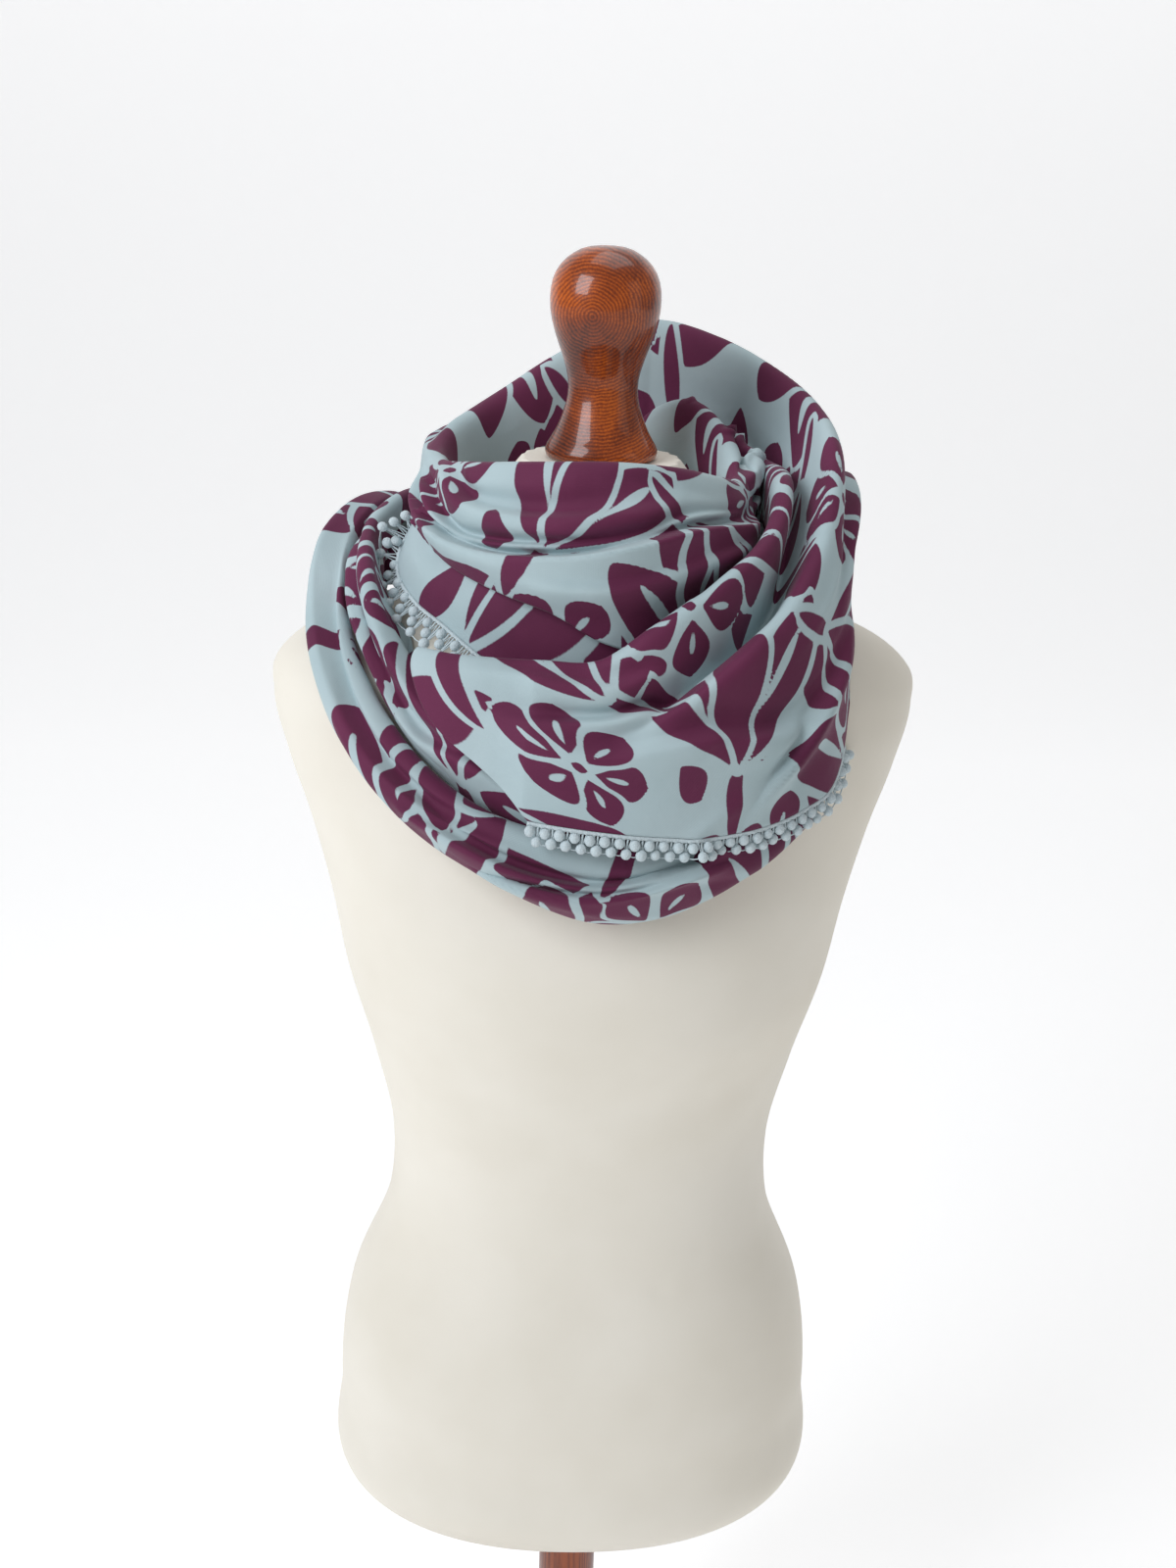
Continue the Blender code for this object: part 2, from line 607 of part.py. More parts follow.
def add_trim(name, grid, rolls, finish, collection):
    """Two staggered rows of bobbles on a narrow braid, just clear of the cloth's last edge.

    Every second stretch of braid carries a bobble, and between these a longer thread
    carries one of the second row.
    """
    half = BOBBLE_PITCH / 2
    edge = even_path(grid[:, -1], half)
    share = np.linspace(0, 1, len(edge))
    grid_share = np.linspace(0, 1, len(grid))
    behind = np.stack([np.interp(share, grid_share, grid[:, -3, k]) for k in range(3)], axis=1)
    along = unit(np.gradient(edge, axis=0))
    down = edge - behind
    down = unit(down - (down * along).sum(axis=1, keepdims=True) * along)
    outward = np.cross(along, down)
    shape = bmesh.new()

    def ring(centre, i, reach):
        corners = ((-1, -1), (1, -1), (1, 1), (-1, 1))
        return [
            shape.verts.new(centre + reach * (a * along[i] + o * outward[i])) for a, o in corners
        ]

    def bridge(first, second):
        for k in range(4):
            shape.faces.new((first[k], first[(k + 1) % 4], second[(k + 1) % 4], second[k]))

    def braid_ring(i):
        top = edge[i] + (GAP + BRAID_PARTING) * down[i]
        low = top + BRAID_HEIGHT * down[i]
        reach = 0.5 * BRAID_THICKNESS * outward[i]
        return [shape.verts.new(p) for p in (top - reach, top + reach, low + reach, low - reach)]

    rings = [braid_ring(i) for i in range(len(edge))]
    shape.faces.new(rings[0][::-1])
    shape.faces.new(rings[-1])
    for i, (first, second) in enumerate(zip(rings, rings[1:])):
        for k in (0, 1, 3):
            shape.faces.new((first[k], first[(k + 1) % 4], second[(k + 1) % 4], second[k]))
        root = [first[3], second[3], second[2], first[2]]
        drop = BRAID_HEIGHT + GAP + (BOBBLE_ROW_DROP if i % 2 else FIRST_ROW_DROP)
        middle = 0.5 * (edge[i] + edge[i + 1])
        centre = middle + (drop + BOBBLE_RADIUS) * down[i]
        centre = keep_clear(centre[None, None], rolls, CLOTH / 2 + BOBBLE_RADIUS + 2 * GAP)[0, 0]
        centre = lift_off_body(centre, 1.6 * BOBBLE_RADIUS + 2 * GAP)
        for share, size in ((-1.0, 0.35), (0.0, 0.92), (1.0, 0.35)):
            reach = size * BOBBLE_RADIUS * (0.5 if share == -1.0 and i % 2 else 1.0)
            level = ring(centre + share * BOBBLE_RADIUS * down[i], i, reach)
            bridge(root, level)
            root = level
        shape.faces.new(root)
    bmesh.ops.recalc_face_normals(shape, faces=shape.faces)
    mesh = bpy.data.meshes.new(name)
    shape.to_mesh(mesh)
    shape.free()
    return add_object(name, mesh, finish, collection)


def add_turned(name, profile, steps, finish, collection):
    """A turned piece: the profile runs down its outer side from the top centre to the bottom centre."""
    mesh = bpy.data.meshes.new(name)
    points = [(radius, 0.0, height) for radius, height in profile]
    edges = [(i, i + 1) for i in range(len(points) - 1)]
    mesh.from_pydata(points, edges, [])
    thing = add_object(name, mesh, finish, collection)
    screw = thing.modifiers.new("turning", "SCREW")
    screw.steps = steps
    screw.render_steps = steps
    screw.use_merge_vertices = True
    screw.merge_threshold = 0.0001
    thing.data.shade_smooth()
    return thing


def add_body(finish, collection):
    """The form's padded body, lofted through its level sections and closed at both ends."""
    up = BODY["up"]
    levels = up[None, :]
    turn = np.linspace(0, 2 * math.pi, BODY_SIDES, endpoint=False)[:, None]
    half_width = between(BODY, "up", "half_width", levels) * MM
    front = between(BODY, "up", "front", levels) * MM
    back = between(BODY, "up", "back", levels) * MM
    power = between(BODY, "up", "squareness", levels)
    across, along = np.sin(turn), -np.cos(turn)
    depth = np.where(along < 0, front, back)
    size = (np.abs(across) ** power + np.abs(along) ** power) ** (-1 / power)
    points = np.stack(
        (
            half_width * across * size,
            depth * along * size,
            np.broadcast_to(levels * MM + SHOULDER_HEIGHT, (BODY_SIDES, levels.shape[1])),
        ),
        axis=-1,
    )
    mesh = grid_mesh("form_body", points, closed_round=True)
    thing = add_object("form_body", mesh, finish, collection)
    shape = bmesh.new()
    shape.from_mesh(mesh)
    bmesh.ops.holes_fill(shape, edges=[e for e in shape.edges if e.is_boundary], sides=0)
    bmesh.ops.recalc_face_normals(shape, faces=shape.faces)
    shape.to_mesh(mesh)
    shape.free()
    mesh.shade_smooth()
    return thing


def azimuths(start, end):
    """Stations from start to end, at whole steps between them, so neighbours' facets line up."""
    inner = np.arange(
        math.floor(start / AZIMUTH_STEP) + 1, math.ceil(end / AZIMUTH_STEP)
    ) * AZIMUTH_STEP
    return np.concatenate(([start], inner, [end]))


def build():
    for old in list(bpy.data.objects):
        bpy.data.objects.remove(old)
    collection = bpy.data.collections.new("triangle scarf on a dress form")
    bpy.context.scene.collection.children.link(collection)
    cream = material("cream cover", CREAM, 0.75)
    wood = material("varnished wood", WOOD, 0.25)
    plum = material("plum print cotton", PLUM, 0.8)
    sage = material("sage print cotton", SAGE, 0.8)
    blue = material("pale bobble braid", PALE_BLUE, 0.9)

    add_body(cream, collection)
    add_turned("finial", FINIAL_PROFILE, 26, wood, collection)
    add_turned("pole", POLE_PROFILE, 20, wood, collection)
    add_turned("foot", FOOT_PROFILE, 32, wood, collection)

    lower = loop_grid(LOWER_LOOP, azimuths(*LOWER_LOOP_ENDS), ACROSS["lower_loop"], LOWER_FOLDS)
    upper = loop_grid(UPPER_LOOP, azimuths(*UPPER_LOOP_ENDS), ACROSS["upper_loop"], UPPER_FOLDS)
    cowl = stretch_grid(azimuths(COLLAR_END + SEAM, COWL_END), ACROSS["front_cowl"])
    tucked = stretch_grid(azimuths(COWL_END + SEAM, TUCKED_END), ACROSS["tucked_end"])
    collar = stretch_grid(azimuths(PANEL_END + SEAM, COLLAR_END), ACROSS["back_collar"])
    corner = corner_grid(CORNER_STATIONS, ACROSS["trimmed_corner"])
    panel = panel_grid(PANEL_STATIONS, ACROSS["front_panel"])
    lower = off_body(lower)
    upper = keep_clear(off_body(upper), [lower])
    collar = keep_clear(off_body(collar), [lower, upper])
    corner = keep_clear(corner, [collar, upper])
    cowl = keep_clear(cowl, [lower, upper, corner])
    panel = keep_clear(off_body(panel), [lower, upper, corner, cowl])
    add_cloth("lower_loop", lower, plum, collection)
    add_cloth("upper_loop", upper, sage, collection)
    add_cloth("front_cowl", cowl, sage, collection)
    add_cloth("tucked_end", tucked, plum, collection)
    add_cloth("trimmed_corner", corner, plum, collection)
    add_cloth("front_panel", panel, plum, collection)
    add_cloth("back_collar", collar, sage, collection)
    side_stations = int((SIDE_TRIM_END - PANEL_END) / AZIMUTH_STEP)
    side = collar[SIDE_UNTRIMMED : SIDE_UNTRIMMED + side_stations]
    hidden, tucked_in = CORNER_UNTRIMMED
    add_trim("front_trim", panel[:-PANEL_UNTRIMMED], [lower], blue, collection)
    add_trim("side_trim", side, [lower, upper, collar], blue, collection)
    add_trim("corner_trim", corner[hidden:-tucked_in], [upper, cowl, collar], blue, collection)


build()
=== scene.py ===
"""A large triangle scarf in printed cotton with a bobble trim, wound round the neck of a dress form.

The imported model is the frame. Its plain solids are replaced by thin printed cloth with all its
folds, crocheted bobbles, a cream jersey cover and a varnished turned finial, pole and foot.

A place on the scarf is given by three values:
  azimuth  degrees round the neck, 0 at the front, 90 at +X, 180 at the back
  out      distance from the form's middle line
  up       height above the form's shoulder line
"""

import math

import bpy
import numpy as np
from mathutils import Matrix, Vector


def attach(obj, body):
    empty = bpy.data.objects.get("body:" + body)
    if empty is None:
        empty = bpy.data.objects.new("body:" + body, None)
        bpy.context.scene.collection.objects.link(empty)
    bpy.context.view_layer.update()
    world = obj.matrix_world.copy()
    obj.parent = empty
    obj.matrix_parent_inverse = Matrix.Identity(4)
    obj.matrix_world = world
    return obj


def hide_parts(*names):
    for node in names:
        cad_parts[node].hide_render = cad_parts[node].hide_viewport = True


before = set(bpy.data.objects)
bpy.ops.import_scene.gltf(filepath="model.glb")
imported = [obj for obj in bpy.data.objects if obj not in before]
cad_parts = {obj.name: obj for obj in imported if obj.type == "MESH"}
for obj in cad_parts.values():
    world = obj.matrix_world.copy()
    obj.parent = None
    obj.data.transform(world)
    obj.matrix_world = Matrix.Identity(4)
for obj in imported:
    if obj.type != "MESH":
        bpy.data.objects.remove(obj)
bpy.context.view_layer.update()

MM = 0.001

# The dress form, as in the solids
FOOT_HEIGHT = 26 * MM
BODY_BOTTOM = FOOT_HEIGHT + 326 * MM
SHOULDER_HEIGHT = BODY_BOTTOM + 648 * MM
NECK_HEIGHT = SHOULDER_HEIGHT + 117 * MM
GAP = 0.35 * MM

# The scarf's cloth
COTTON = 0.9 * MM
CLEARANCE = 2.3 * MM
MM_PER_DEGREE = 2.1

# The trim
BOBBLE_PITCH = 8.2 * MM
BOBBLE_RADIUS = 3.05 * MM
BOBBLE_SHAPE = (1.0, 0.96, 1.06)
WOBBLE = 0.25 * MM
FIRST_ROW_DROP = 0.3 * MM
ROW_STEP = 5.2 * MM
BRAID_DROP = 0.3 * MM
BRAID_HEIGHT = 2.0 * MM

# The fineness of the surfaces: degrees from row to row, and points across
LOOP_STEP = 0.85
BASE_STEP = 0.5
PANEL_STEP = 0.8
COWL_STEP = 0.63
LOWER_ACROSS = 92
UPPER_ACROSS = 64
STRETCH_ACROSS = 120
CORNER_STATIONS = 110
CORNER_ACROSS = 46
SECTION_SAMPLES = 361
BALL_SIDES = 10
BALL_LEVELS = 6

# The corner point of each section that is its crest
LOOP_CREST = 3
STRETCH_CREST = 10

# How a main fold rises: its share upwards, its gain, how far its face runs on, and the groove above it
FOLD_RISE = 0.3
FOLD_GAIN = 1.45
FOLD_REACH = 0.7
GROOVE_ABOVE = 1.5
GROOVE_WIDTH = 0.9
GROOVE_DEPTH = 0.45


def table(columns, *rows):
    """Rows of numbers as a dictionary of arrays, one for each named column."""
    values = np.array(rows, float)
    return {name: values[:, i] for i, name in enumerate(columns.split())}


def fold_table(*folds):
    """The rows of several folds as one table, in which the folds are numbered from 1."""
    rows = [(number, *row) for number, fold in enumerate(folds, start=1) for row in fold]
    return table("fold azimuth down height rise length", *rows)


def between(rows, key, column, at):
    """A smooth curve through a table's column: a cubic between each two rows, with the rows' mean slopes."""
    x = rows[key]
    y = rows[column]
    slope = np.gradient(y, x)
    i = np.clip(np.searchsorted(x, at) - 1, 0, len(x) - 2)
    span = x[i + 1] - x[i]
    t = np.clip((at - x[i]) / span, 0.0, 1.0)
    rise = (2 * t**3 - 3 * t**2 + 1) * y[i] + (3 * t**2 - 2 * t**3) * y[i + 1]
    bend = (t**3 - 2 * t**2 + t) * slope[i] + (t**3 - t**2) * slope[i + 1]
    return rise + span * bend


def unit(vectors):
    """Vectors divided by their lengths."""
    return vectors / np.maximum(np.linalg.norm(vectors, axis=-1, keepdims=True), 1e-12)


def soft_step(t):
    """Rises from 0 to 1 as t does, level at both ends: 3t squared less 2t cubed."""
    t = np.clip(t, 0, 1)
    return t * t * (3 - 2 * t)


# The form's body, from the bottom up: half widths and depths of its level sections
BODY = table(
    "up half_width front back squareness",
    (-648, 158, 96, 104, 2.2),
    (-640, 165, 103, 111, 2.2),
    (-560, 172, 112, 122, 2.2),
    (-480, 163, 106, 112, 2.2),
    (-400, 134, 92, 88, 2.2),
    (-340, 130, 90, 84, 2.2),
    (-270, 142, 108, 88, 2.2),
    (-200, 158, 134, 96, 2.2),
    (-150, 166, 136, 102, 2.2),
    (-100, 178, 121, 106, 2.25),
    (-60, 190, 109, 106, 2.3),
    (-25, 197, 98, 102, 2.3),
    (-5, 194, 90, 97, 2.3),
    (8, 178, 84, 91, 2.3),
    (22, 146, 78, 84, 2.25),
    (36, 110, 70, 74, 2.15),
    (50, 78, 62, 64, 2.05),
    (66, 59, 56, 57, 2.0),
    (90, 52, 52, 52, 2.0),
    (112, 50, 50, 50, 2.0),
    (117, 46, 46, 46, 2.0),
)

# The turned pieces: radius and height in millimetres, down their outer sides
FINIAL_PROFILE = (
    (0, 118), (5, 117.8), (10, 117.2), (14.8, 115.8), (19, 113.5), (22.8, 110.8), (26, 107.5),
    (28.7, 103.5), (30.5, 99), (31.5, 94), (31.8, 89), (31.5, 83), (30.4, 77), (28.5, 70), (26, 63),
    (23.6, 56.5), (21.6, 50), (20.5, 45), (20.2, 40), (20.6, 35), (21.6, 30), (24, 23), (27, 16),
    (29.8, 11), (32, 7.5), (33, 5), (33, 3), (32.4, 1.2), (31, 0), (0, 0),
)
POLE_PROFILE = ((0, 325.3), (21, 325.3), (22, 324.3), (22, 1), (21, 0), (0, 0))
FOOT_PROFILE = (
    (0, 26), (38, 26), (40, 25.6), (42, 24.9), (46, 24.5), (51, 22.6), (56, 20), (62, 18.8), (132, 14.6),
    (138, 14.3), (141, 13.1), (150, 12), (155, 10), (158, 7.5), (160, 3.5), (159.4, 1), (158, 0), (0, 0),
)


def body_section(up):
    """The half width, front depth, back depth and squareness of the body's level sections."""
    return (between(BODY, "up", name, up) for name in ("half_width", "front", "back", "squareness"))


def body_radius_ratio(x, y, z):
    """How far out a point is on the form's level section at its height: 1 on the surface, less inside."""
    half_width, front, back, power = body_section((z - SHOULDER_HEIGHT) / MM)
    depth = np.where(y < 0, front, back)
    return (np.abs(x / (half_width * MM)) ** power + np.abs(y / (depth * MM)) ** power) ** (1 / power)


def lift_off_body(points, clearance):
    """Moves the points that are nearer to the form's body than the clearance straight out from it."""
    step = 0.2 * MM
    for _ in range(4):
        x, y, z = points[..., 0], points[..., 1], points[..., 2]
        ratio = body_radius_ratio(x, y, z)
        slope = np.stack(
            (
                body_radius_ratio(x + step, y, z) - ratio,
                body_radius_ratio(x, y + step, z) - ratio,
                body_radius_ratio(x, y, z + step) - ratio,
            ),
            axis=-1,
        ) / step
        steepness = np.maximum(np.linalg.norm(slope, axis=-1), 1.0)
        distance = (ratio - 1) / steepness
        push = np.maximum(clearance - distance, 0.0) * (z < NECK_HEIGHT)
        points = points + (push / steepness)[..., None] * slope
    return points


def place(azimuth, out, up):
    """Points in space from azimuths in degrees and out and up in millimetres."""
    turn = np.radians(azimuth)
    across, along = out * MM * np.sin(turn), -out * MM * np.cos(turn)
    return np.stack((across, along, up * MM + SHOULDER_HEIGHT), axis=-1)


# The wraps of the scarf, as in the solids
LOOP_COLUMNS = "azimuth crest_out crest_up low_out low_up belly lip inner reach tuck_in tuck_up"
LOWER_LOOP = table(
    LOOP_COLUMNS,
    (-252, 140, 40, 150, 8, 4, 6, 18, 0, 8, 3),
    (-230, 141, 36, 152, -6, 6, 7, 20, 0, 14, 2),
    (-205, 142, 32, 152, -20, 8, 8, 22, 0, 22, 0),
    (-180, 143, 34, 152, -24, 9, 8, 22, 0, 26, 0),
    (-155, 146, 46, 154, -12, 9, 8, 22, 0, 22, 0),
    (-130, 150, 68, 159, 14, 8, 8, 22, 0, 16, -2),
    (-115, 154, 78, 163, 24, 7, 8.5, 22, 0, 12, -4),
    (-102, 157, 76, 166, 26, 7, 9, 22, 0, 12, -4),
    (-90, 160, 65, 168, 22, 7, 7, 20, 0, 12, -6),
    (-75, 163, 40, 170, 10, 7, 5.5, 16, 0, 12, -6),
    (-60, 163, 2, 168, -30, 8, 6.5, 13, 0, 14, 0),
    (-45, 160, -31, 158, -62, 8, 8, 16, 0, 16, 3),
    (-22, 154, -60, 156, -92, 8, 8, 20, 0, 20, 4),
    (0, 150, -68, 151, -116, 8, 8, 20, 0, 20, 4),
    (20, 149, -66, 150, -111, 8, 7, 20, 0, 18, 4),
    (32, 151, -63, 153, -99, 6, 5.5, 16, 0, 14, 4),
    (42, 155, -60, 157, -85, 4, 4, 12, 0, 9, 3),
    (52, 158, -58, 160, -70, 2, 2.5, 8, 0, 4, 2),
)
UPPER_LOOP = table(
    LOOP_COLUMNS,
    (-248, 132, 68, 119, 42, 4, 6, 18, 0, 4, 0),
    (-225, 130, 63, 118, 38, 4, 6, 18, 0, 4, 0),
    (-200, 129, 60, 117, 32, 4, 6, 18, 0, 4, 0),
    (-180, 129, 60, 117, 32, 4, 6, 18, 0, 4, 0),
    (-155, 130, 70, 118, 42, 3, 6, 18, 0, 4, 0),
    (-130, 131, 80, 122, 52, 3, 5.5, 17, 0, 4, 0),
    (-115, 131, 84, 125, 56, 3, 5, 15, 0, 4, 0),
    (-102, 134, 82, 129, 54, 3, 5, 13, 0, 4, 0),
    (-90, 140, 75, 137, 46, 2, 4.5, 20, 2, 4, 0),
    (-76, 145, 64, 144, 34, 2, 5, 23, 6, 4, 0),
    (-67, 148, 53, 146, 12, 2, 5, 20, 9, 4, 0),
    (-60, 148, 36, 142, -8, 2, 5.5, 17, 13, 4, 0),
    (-54, 143, 15, 139, -24, 3, 6.5, 18, 4, 4, 0),
    (-46, 138, -5, 138, -38, 4, 7, 18, 0, 4, 0),
    (-34, 136, -18, 135, -56, 4, 7, 20, 0, 4, 0),
    (-16, 133, -30, 131, -72, 4, 7, 20, 0, 4, 0),
    (8, 131, -38, 128, -80, 4, 6, 20, 0, 4, 0),
)
STRETCH = table(
    "azimuth inner_out inner_up valley_out valley_up outer_out outer_up low_out low_up belly lip hem crests",
    (-64, 150, 14, 152, 0, 154, -10, 163, -30, 2, 3, 6, -1.0),
    (-52, 148, 26, 150, 0, 153, -10, 161, -44, 2, 3, 8, -1.0),
    (-36, 142, 27, 147, 0, 150, -10, 160, -48, 2, 4.5, 14, -1.0),
    (-15, 134, 27, 141, 0, 148, -10, 159, -50, 2, 7, 22, -1.0),
    (0, 132, 29, 136, 0, 146, -12, 159, -54, 2, 7, 24, -0.8),
    (12, 131, 46, 127, 2, 147, 2, 159, -58, 3, 7, 24, -0.2),
    (23, 130, 60, 122, 12, 148, 20, 159, -61, 3, 7, 22, 0.0),
    (34, 129, 72, 119, 22, 149, 38, 161, -61, 3, 7, 22, 0.0),
    (45, 127, 82, 116, 32, 149, 54, 164, -57, 3, 7, 22, 0.0),
    (55, 124, 92, 114, 44, 147, 72, 167, -47, 4, 7, 22, 0.0),
    (63, 121, 102, 111, 58, 146, 90, 163, -18, 4, 7, 22, 0.0),
    (71, 117, 110, 109, 72, 144, 109, 152, 16, 4, 7, 28, 0.0),
    (80, 114, 112, 107, 84, 141, 126, 147, 30, 5, 7, 30, 0.0),
    (100, 109, 110, 106, 94, 135, 146, 147, 36, 6, 7, 34, 0.1),
    (120, 104, 104, 106, 94, 128, 162, 148, 38, 6, 7, 40, 0.4),
    (140, 100, 96, 104, 94, 121, 176, 146, 44, 6, 8, 70, 0.8),
    (160, 96, 92, 100, 94, 112, 184, 142, 56, 8, 8, 96, 1.0),
    (180, 92, 90, 96, 94, 106, 175, 134, 70, 8, 8, 92, 1.0),
    (200, 90, 88, 94, 94, 104, 158, 120, 78, 8, 9, 76, 1.0),
    (215, 90, 88, 94, 94, 104, 144, 114, 76, 7, 10, 62, 1.0),
    (230, 90, 88, 94, 94, 105, 133, 113, 76, 6, 10, 52, 1.0),
    (248, 90, 88, 94, 94, 106, 124, 111, 76, 4, 10, 44, 1.0),
    (264, 90, 88, 94, 94, 105, 117, 107, 70, 2, 9, 38, 1.0),
    (280, 90, 80, 94, 84, 101, 114, 106, 82, 2, 8, 36, 1.0),
    (300, 80, 80, 84, 84, 95, 118, 103, 70, 3, 7, 32, 1.0),
    (330, 80, 80, 84, 84, 91, 124, 104, 57, 4, 7, 34, 1.0),
    (346, 80, 80, 84, 84, 90, 126, 107, 50, 5, 7, 35, 1.0),
    (360, 80, 80, 84, 84, 90, 127, 108, 36, 7, 7, 36, 1.0),
    (388, 80, 80, 84, 84, 90, 123, 102, 30, 6, 7, 34, 1.0),
    (412, 80, 80, 84, 84, 90, 114, 98, 50, 4, 7, 32, 1.0),
    (430, 80, 80, 84, 84, 88, 108, 94, 62, 3, 7, 30, 1.0),
    (445, 80, 80, 84, 84, 86, 113, 88, 70, 3, 7, 34, 1.0),
    (465, 80, 80, 84, 84, 82, 130, 84, 74, 4, 8, 46, 1.0),
    (485, 80, 80, 84, 84, 78, 142, 82, 76, 4, 8, 54, 1.0),
    (508, 80, 80, 84, 84, 75, 136, 80, 80, 3, 7, 44, 1.0),
    (530, 80, 80, 84, 84, 72, 112, 78, 84, 2, 6, 22, 1.0),
)
STRETCH_START = -64
PANEL_START = -45
PANEL_END = 80
COLLAR_END = 280
TUCKED_END = 530
PANEL_LEFT_EDGE = table("across azimuth", (0.0, -45), (0.3, -44), (0.55, -38), (0.8, -25), (1.0, -14))

# The trimmed corner below the cowl: each row runs from its hidden upper side to its edge
TRIMMED_CORNER = table(
    "station top_azimuth top_out top_up edge_azimuth edge_out edge_up",
    (0, -72, 104, 96, -74, 108, 85),
    (1, -70, 103, 92, -77, 114, 73),
    (2, -66, 101, 88, -78, 119, 62),
    (3, -57, 98, 83, -73, 121, 52),
    (4, -48, 98, 78, -62, 118, 42),
    (5, -38, 98, 74, -50, 114, 34),
    (6, -27, 99, 70, -36, 113, 22),
    (7, -13, 98, 66, -18, 108, 2),
    (8, 12, 97, 56, 12, 100, -10),
)

# The main folds. Each lies on the one above it like a terrace: a crest that catches the light, and a long
# face that sinks back. Its rows give its line: the azimuth, how many millimetres of cloth it lies below
# the wrap's crest, how far it stands out, how fast it rises there and how long its face is.
STRETCH_FOLDS = fold_table(
    (
        (288, 5, 0, 5, 14), (297, 10, 3.5, 5, 16), (312, 25, 5, 5, 16), (324, 30, 5.5, 6, 16),
        (340, 33, 5.5, 7, 15), (356, 32, 5, 8, 14), (372, 27, 3, 8, 12), (388, 20, 0, 8, 10),
    ),
    (
        (268, 10, 0, 3, 8), (284, 17, 3, 3, 9), (298, 33, 5, 3, 7), (308, 41, 5, 3, 6),
        (320, 45, 5, 3, 6), (338, 46.5, 5, 3, 6), (356, 45, 4.5, 3, 6), (370, 40, 4, 3, 7),
        (388, 28, 3, 3, 9), (408, 22, 2, 3, 10), (430, 18, 0, 4, 10),
    ),
    (
        (262, 18, 0, 3, 12), (274, 24, 4, 3, 12), (288, 34, 6, 3, 14), (301, 43, 8, 3, 18),
        (312, 48, 9, 3, 24), (324, 52, 9.5, 3, 28), (340, 53, 9.5, 3, 30), (356, 51, 9.5, 3, 30),
        (368, 46, 9, 3, 30), (384, 37, 9, 3, 30), (400, 31, 8, 3, 28), (418, 27, 6, 4, 26),
        (436, 24, 0, 5, 20),
    ),
    (
        (330, 66, 0, 8, 14), (345, 70, 3, 8, 14), (362, 70, 4, 8, 14), (384, 58, 4, 8, 14),
        (404, 46, 3, 8, 14), (420, 40, 0, 8, 14),
    ),
    (
        (-26, -10, 0, 6, 22), (-12, -13, 3, 5, 24), (-2, -15, 5, 4, 26), (6, -13, 6, 4, 28),
        (14, -9, 6, 4, 28), (24, -3, 4, 5, 26), (40, 0, 0, 6, 20),
    ),
    (
        (-22, -4, 0, 10, 20), (-10, 0, 2.5, 10, 20), (0, 5, 4, 9, 22), (10, 13, 4.5, 9, 24),
        (22, 30, 5, 9, 26), (34, 52, 4.5, 9, 24), (42, 64, 3, 9, 20), (52, 70, 0, 9, 20),
    ),
    (
        (30, 92, 0, 6, 14), (39, 80, 4, 6, 14), (45, 73, 5, 6, 16), (53, 70, 4, 7, 18),
        (66, 64, 0, 8, 18),
    ),
    (
        (-34, -34, 0, 6, 12), (-20, -36, 2, 6, 12), (-4, -34, 3.5, 6, 12), (8, -30, 3, 6, 12),
        (20, -34, 0, 6, 12),
    ),
    (
        (58, 40, 0, 8, 20), (72, 30, 4, 7, 22), (88, 36, 5, 7, 24), (108, 54, 4, 8, 24),
        (130, 66, 0, 9, 24),
    ),
    (
        (104, 24, 0, 8, 22), (124, 34, 4, 8, 22), (148, 52, 5, 8, 24), (176, 60, 5, 8, 24),
        (204, 50, 3, 8, 22), (226, 40, 0, 8, 18),
    ),
    (
        (150, 18, 0, 8, 18), (172, 24, 4, 8, 18), (196, 26, 4, 7, 16), (220, 20, 4, 5, 14),
        (244, 12, 3, 4, 12), (262, 8, 0, 4, 10),
    ),
    (
        (436, 4, 0, 4, 8), (447, 8, 4, 3, 9), (458, 16, 6, 3, 10), (470, 20, 6, 3, 10),
        (484, 14, 4, 4, 10), (498, 8, 0, 4, 10),
    ),
    (
        (438, 20, 0, 3, 8), (450, 28, 5, 3, 9), (464, 34, 6, 3, 10), (480, 30, 6, 3, 12),
        (500, 22, 4, 4, 12), (520, 14, 0, 4, 10),
    ),
)
LOWER_FOLDS = fold_table(
    (
        (-120, 0, 0, 3, 10), (-106, 4, 3, 3, 12), (-90, 7, 5, 3, 14), (-77, 9, 5.5, 3, 16),
        (-68, 14, 5.5, 3, 18), (-60, 17, 5.5, 3, 18), (-49, 20, 5, 3, 18), (-38, 20, 4.5, 3, 18),
        (-28, 19, 3, 4, 16), (-14, 17, 0, 5, 12),
    ),
    (
        (-42, 30, 0, 3, 8), (-30, 25, 4, 3, 8), (-20, 27, 5, 2.5, 8), (-10, 30, 5, 2.5, 8),
        (0, 32, 5, 2.5, 8), (10, 29, 5, 2.5, 9), (20, 25, 4.5, 3, 10), (28, 16, 3, 3, 12),
        (38, 10, 0, 4, 12),
    ),
    (
        (-26, 38, 0, 2.5, 14), (-14, 37, 4, 2.5, 14), (-4, 38, 5, 2.5, 14), (6, 36, 5, 2.5, 14),
        (18, 30, 4, 3, 14), (30, 26, 0, 4, 14),
    ),
    (
        (-236, 14, 0, 6, 16), (-200, 20, 5, 5, 18), (-166, 24, 5, 5, 20), (-134, 18, 4, 4, 18),
        (-112, 14, 0, 4, 14),
    ),
    (
        (-190, 36, 0, 6, 14), (-160, 38, 4, 6, 14), (-120, 32, 4, 6, 14), (-84, 34, 0, 6, 12),
    ),
)
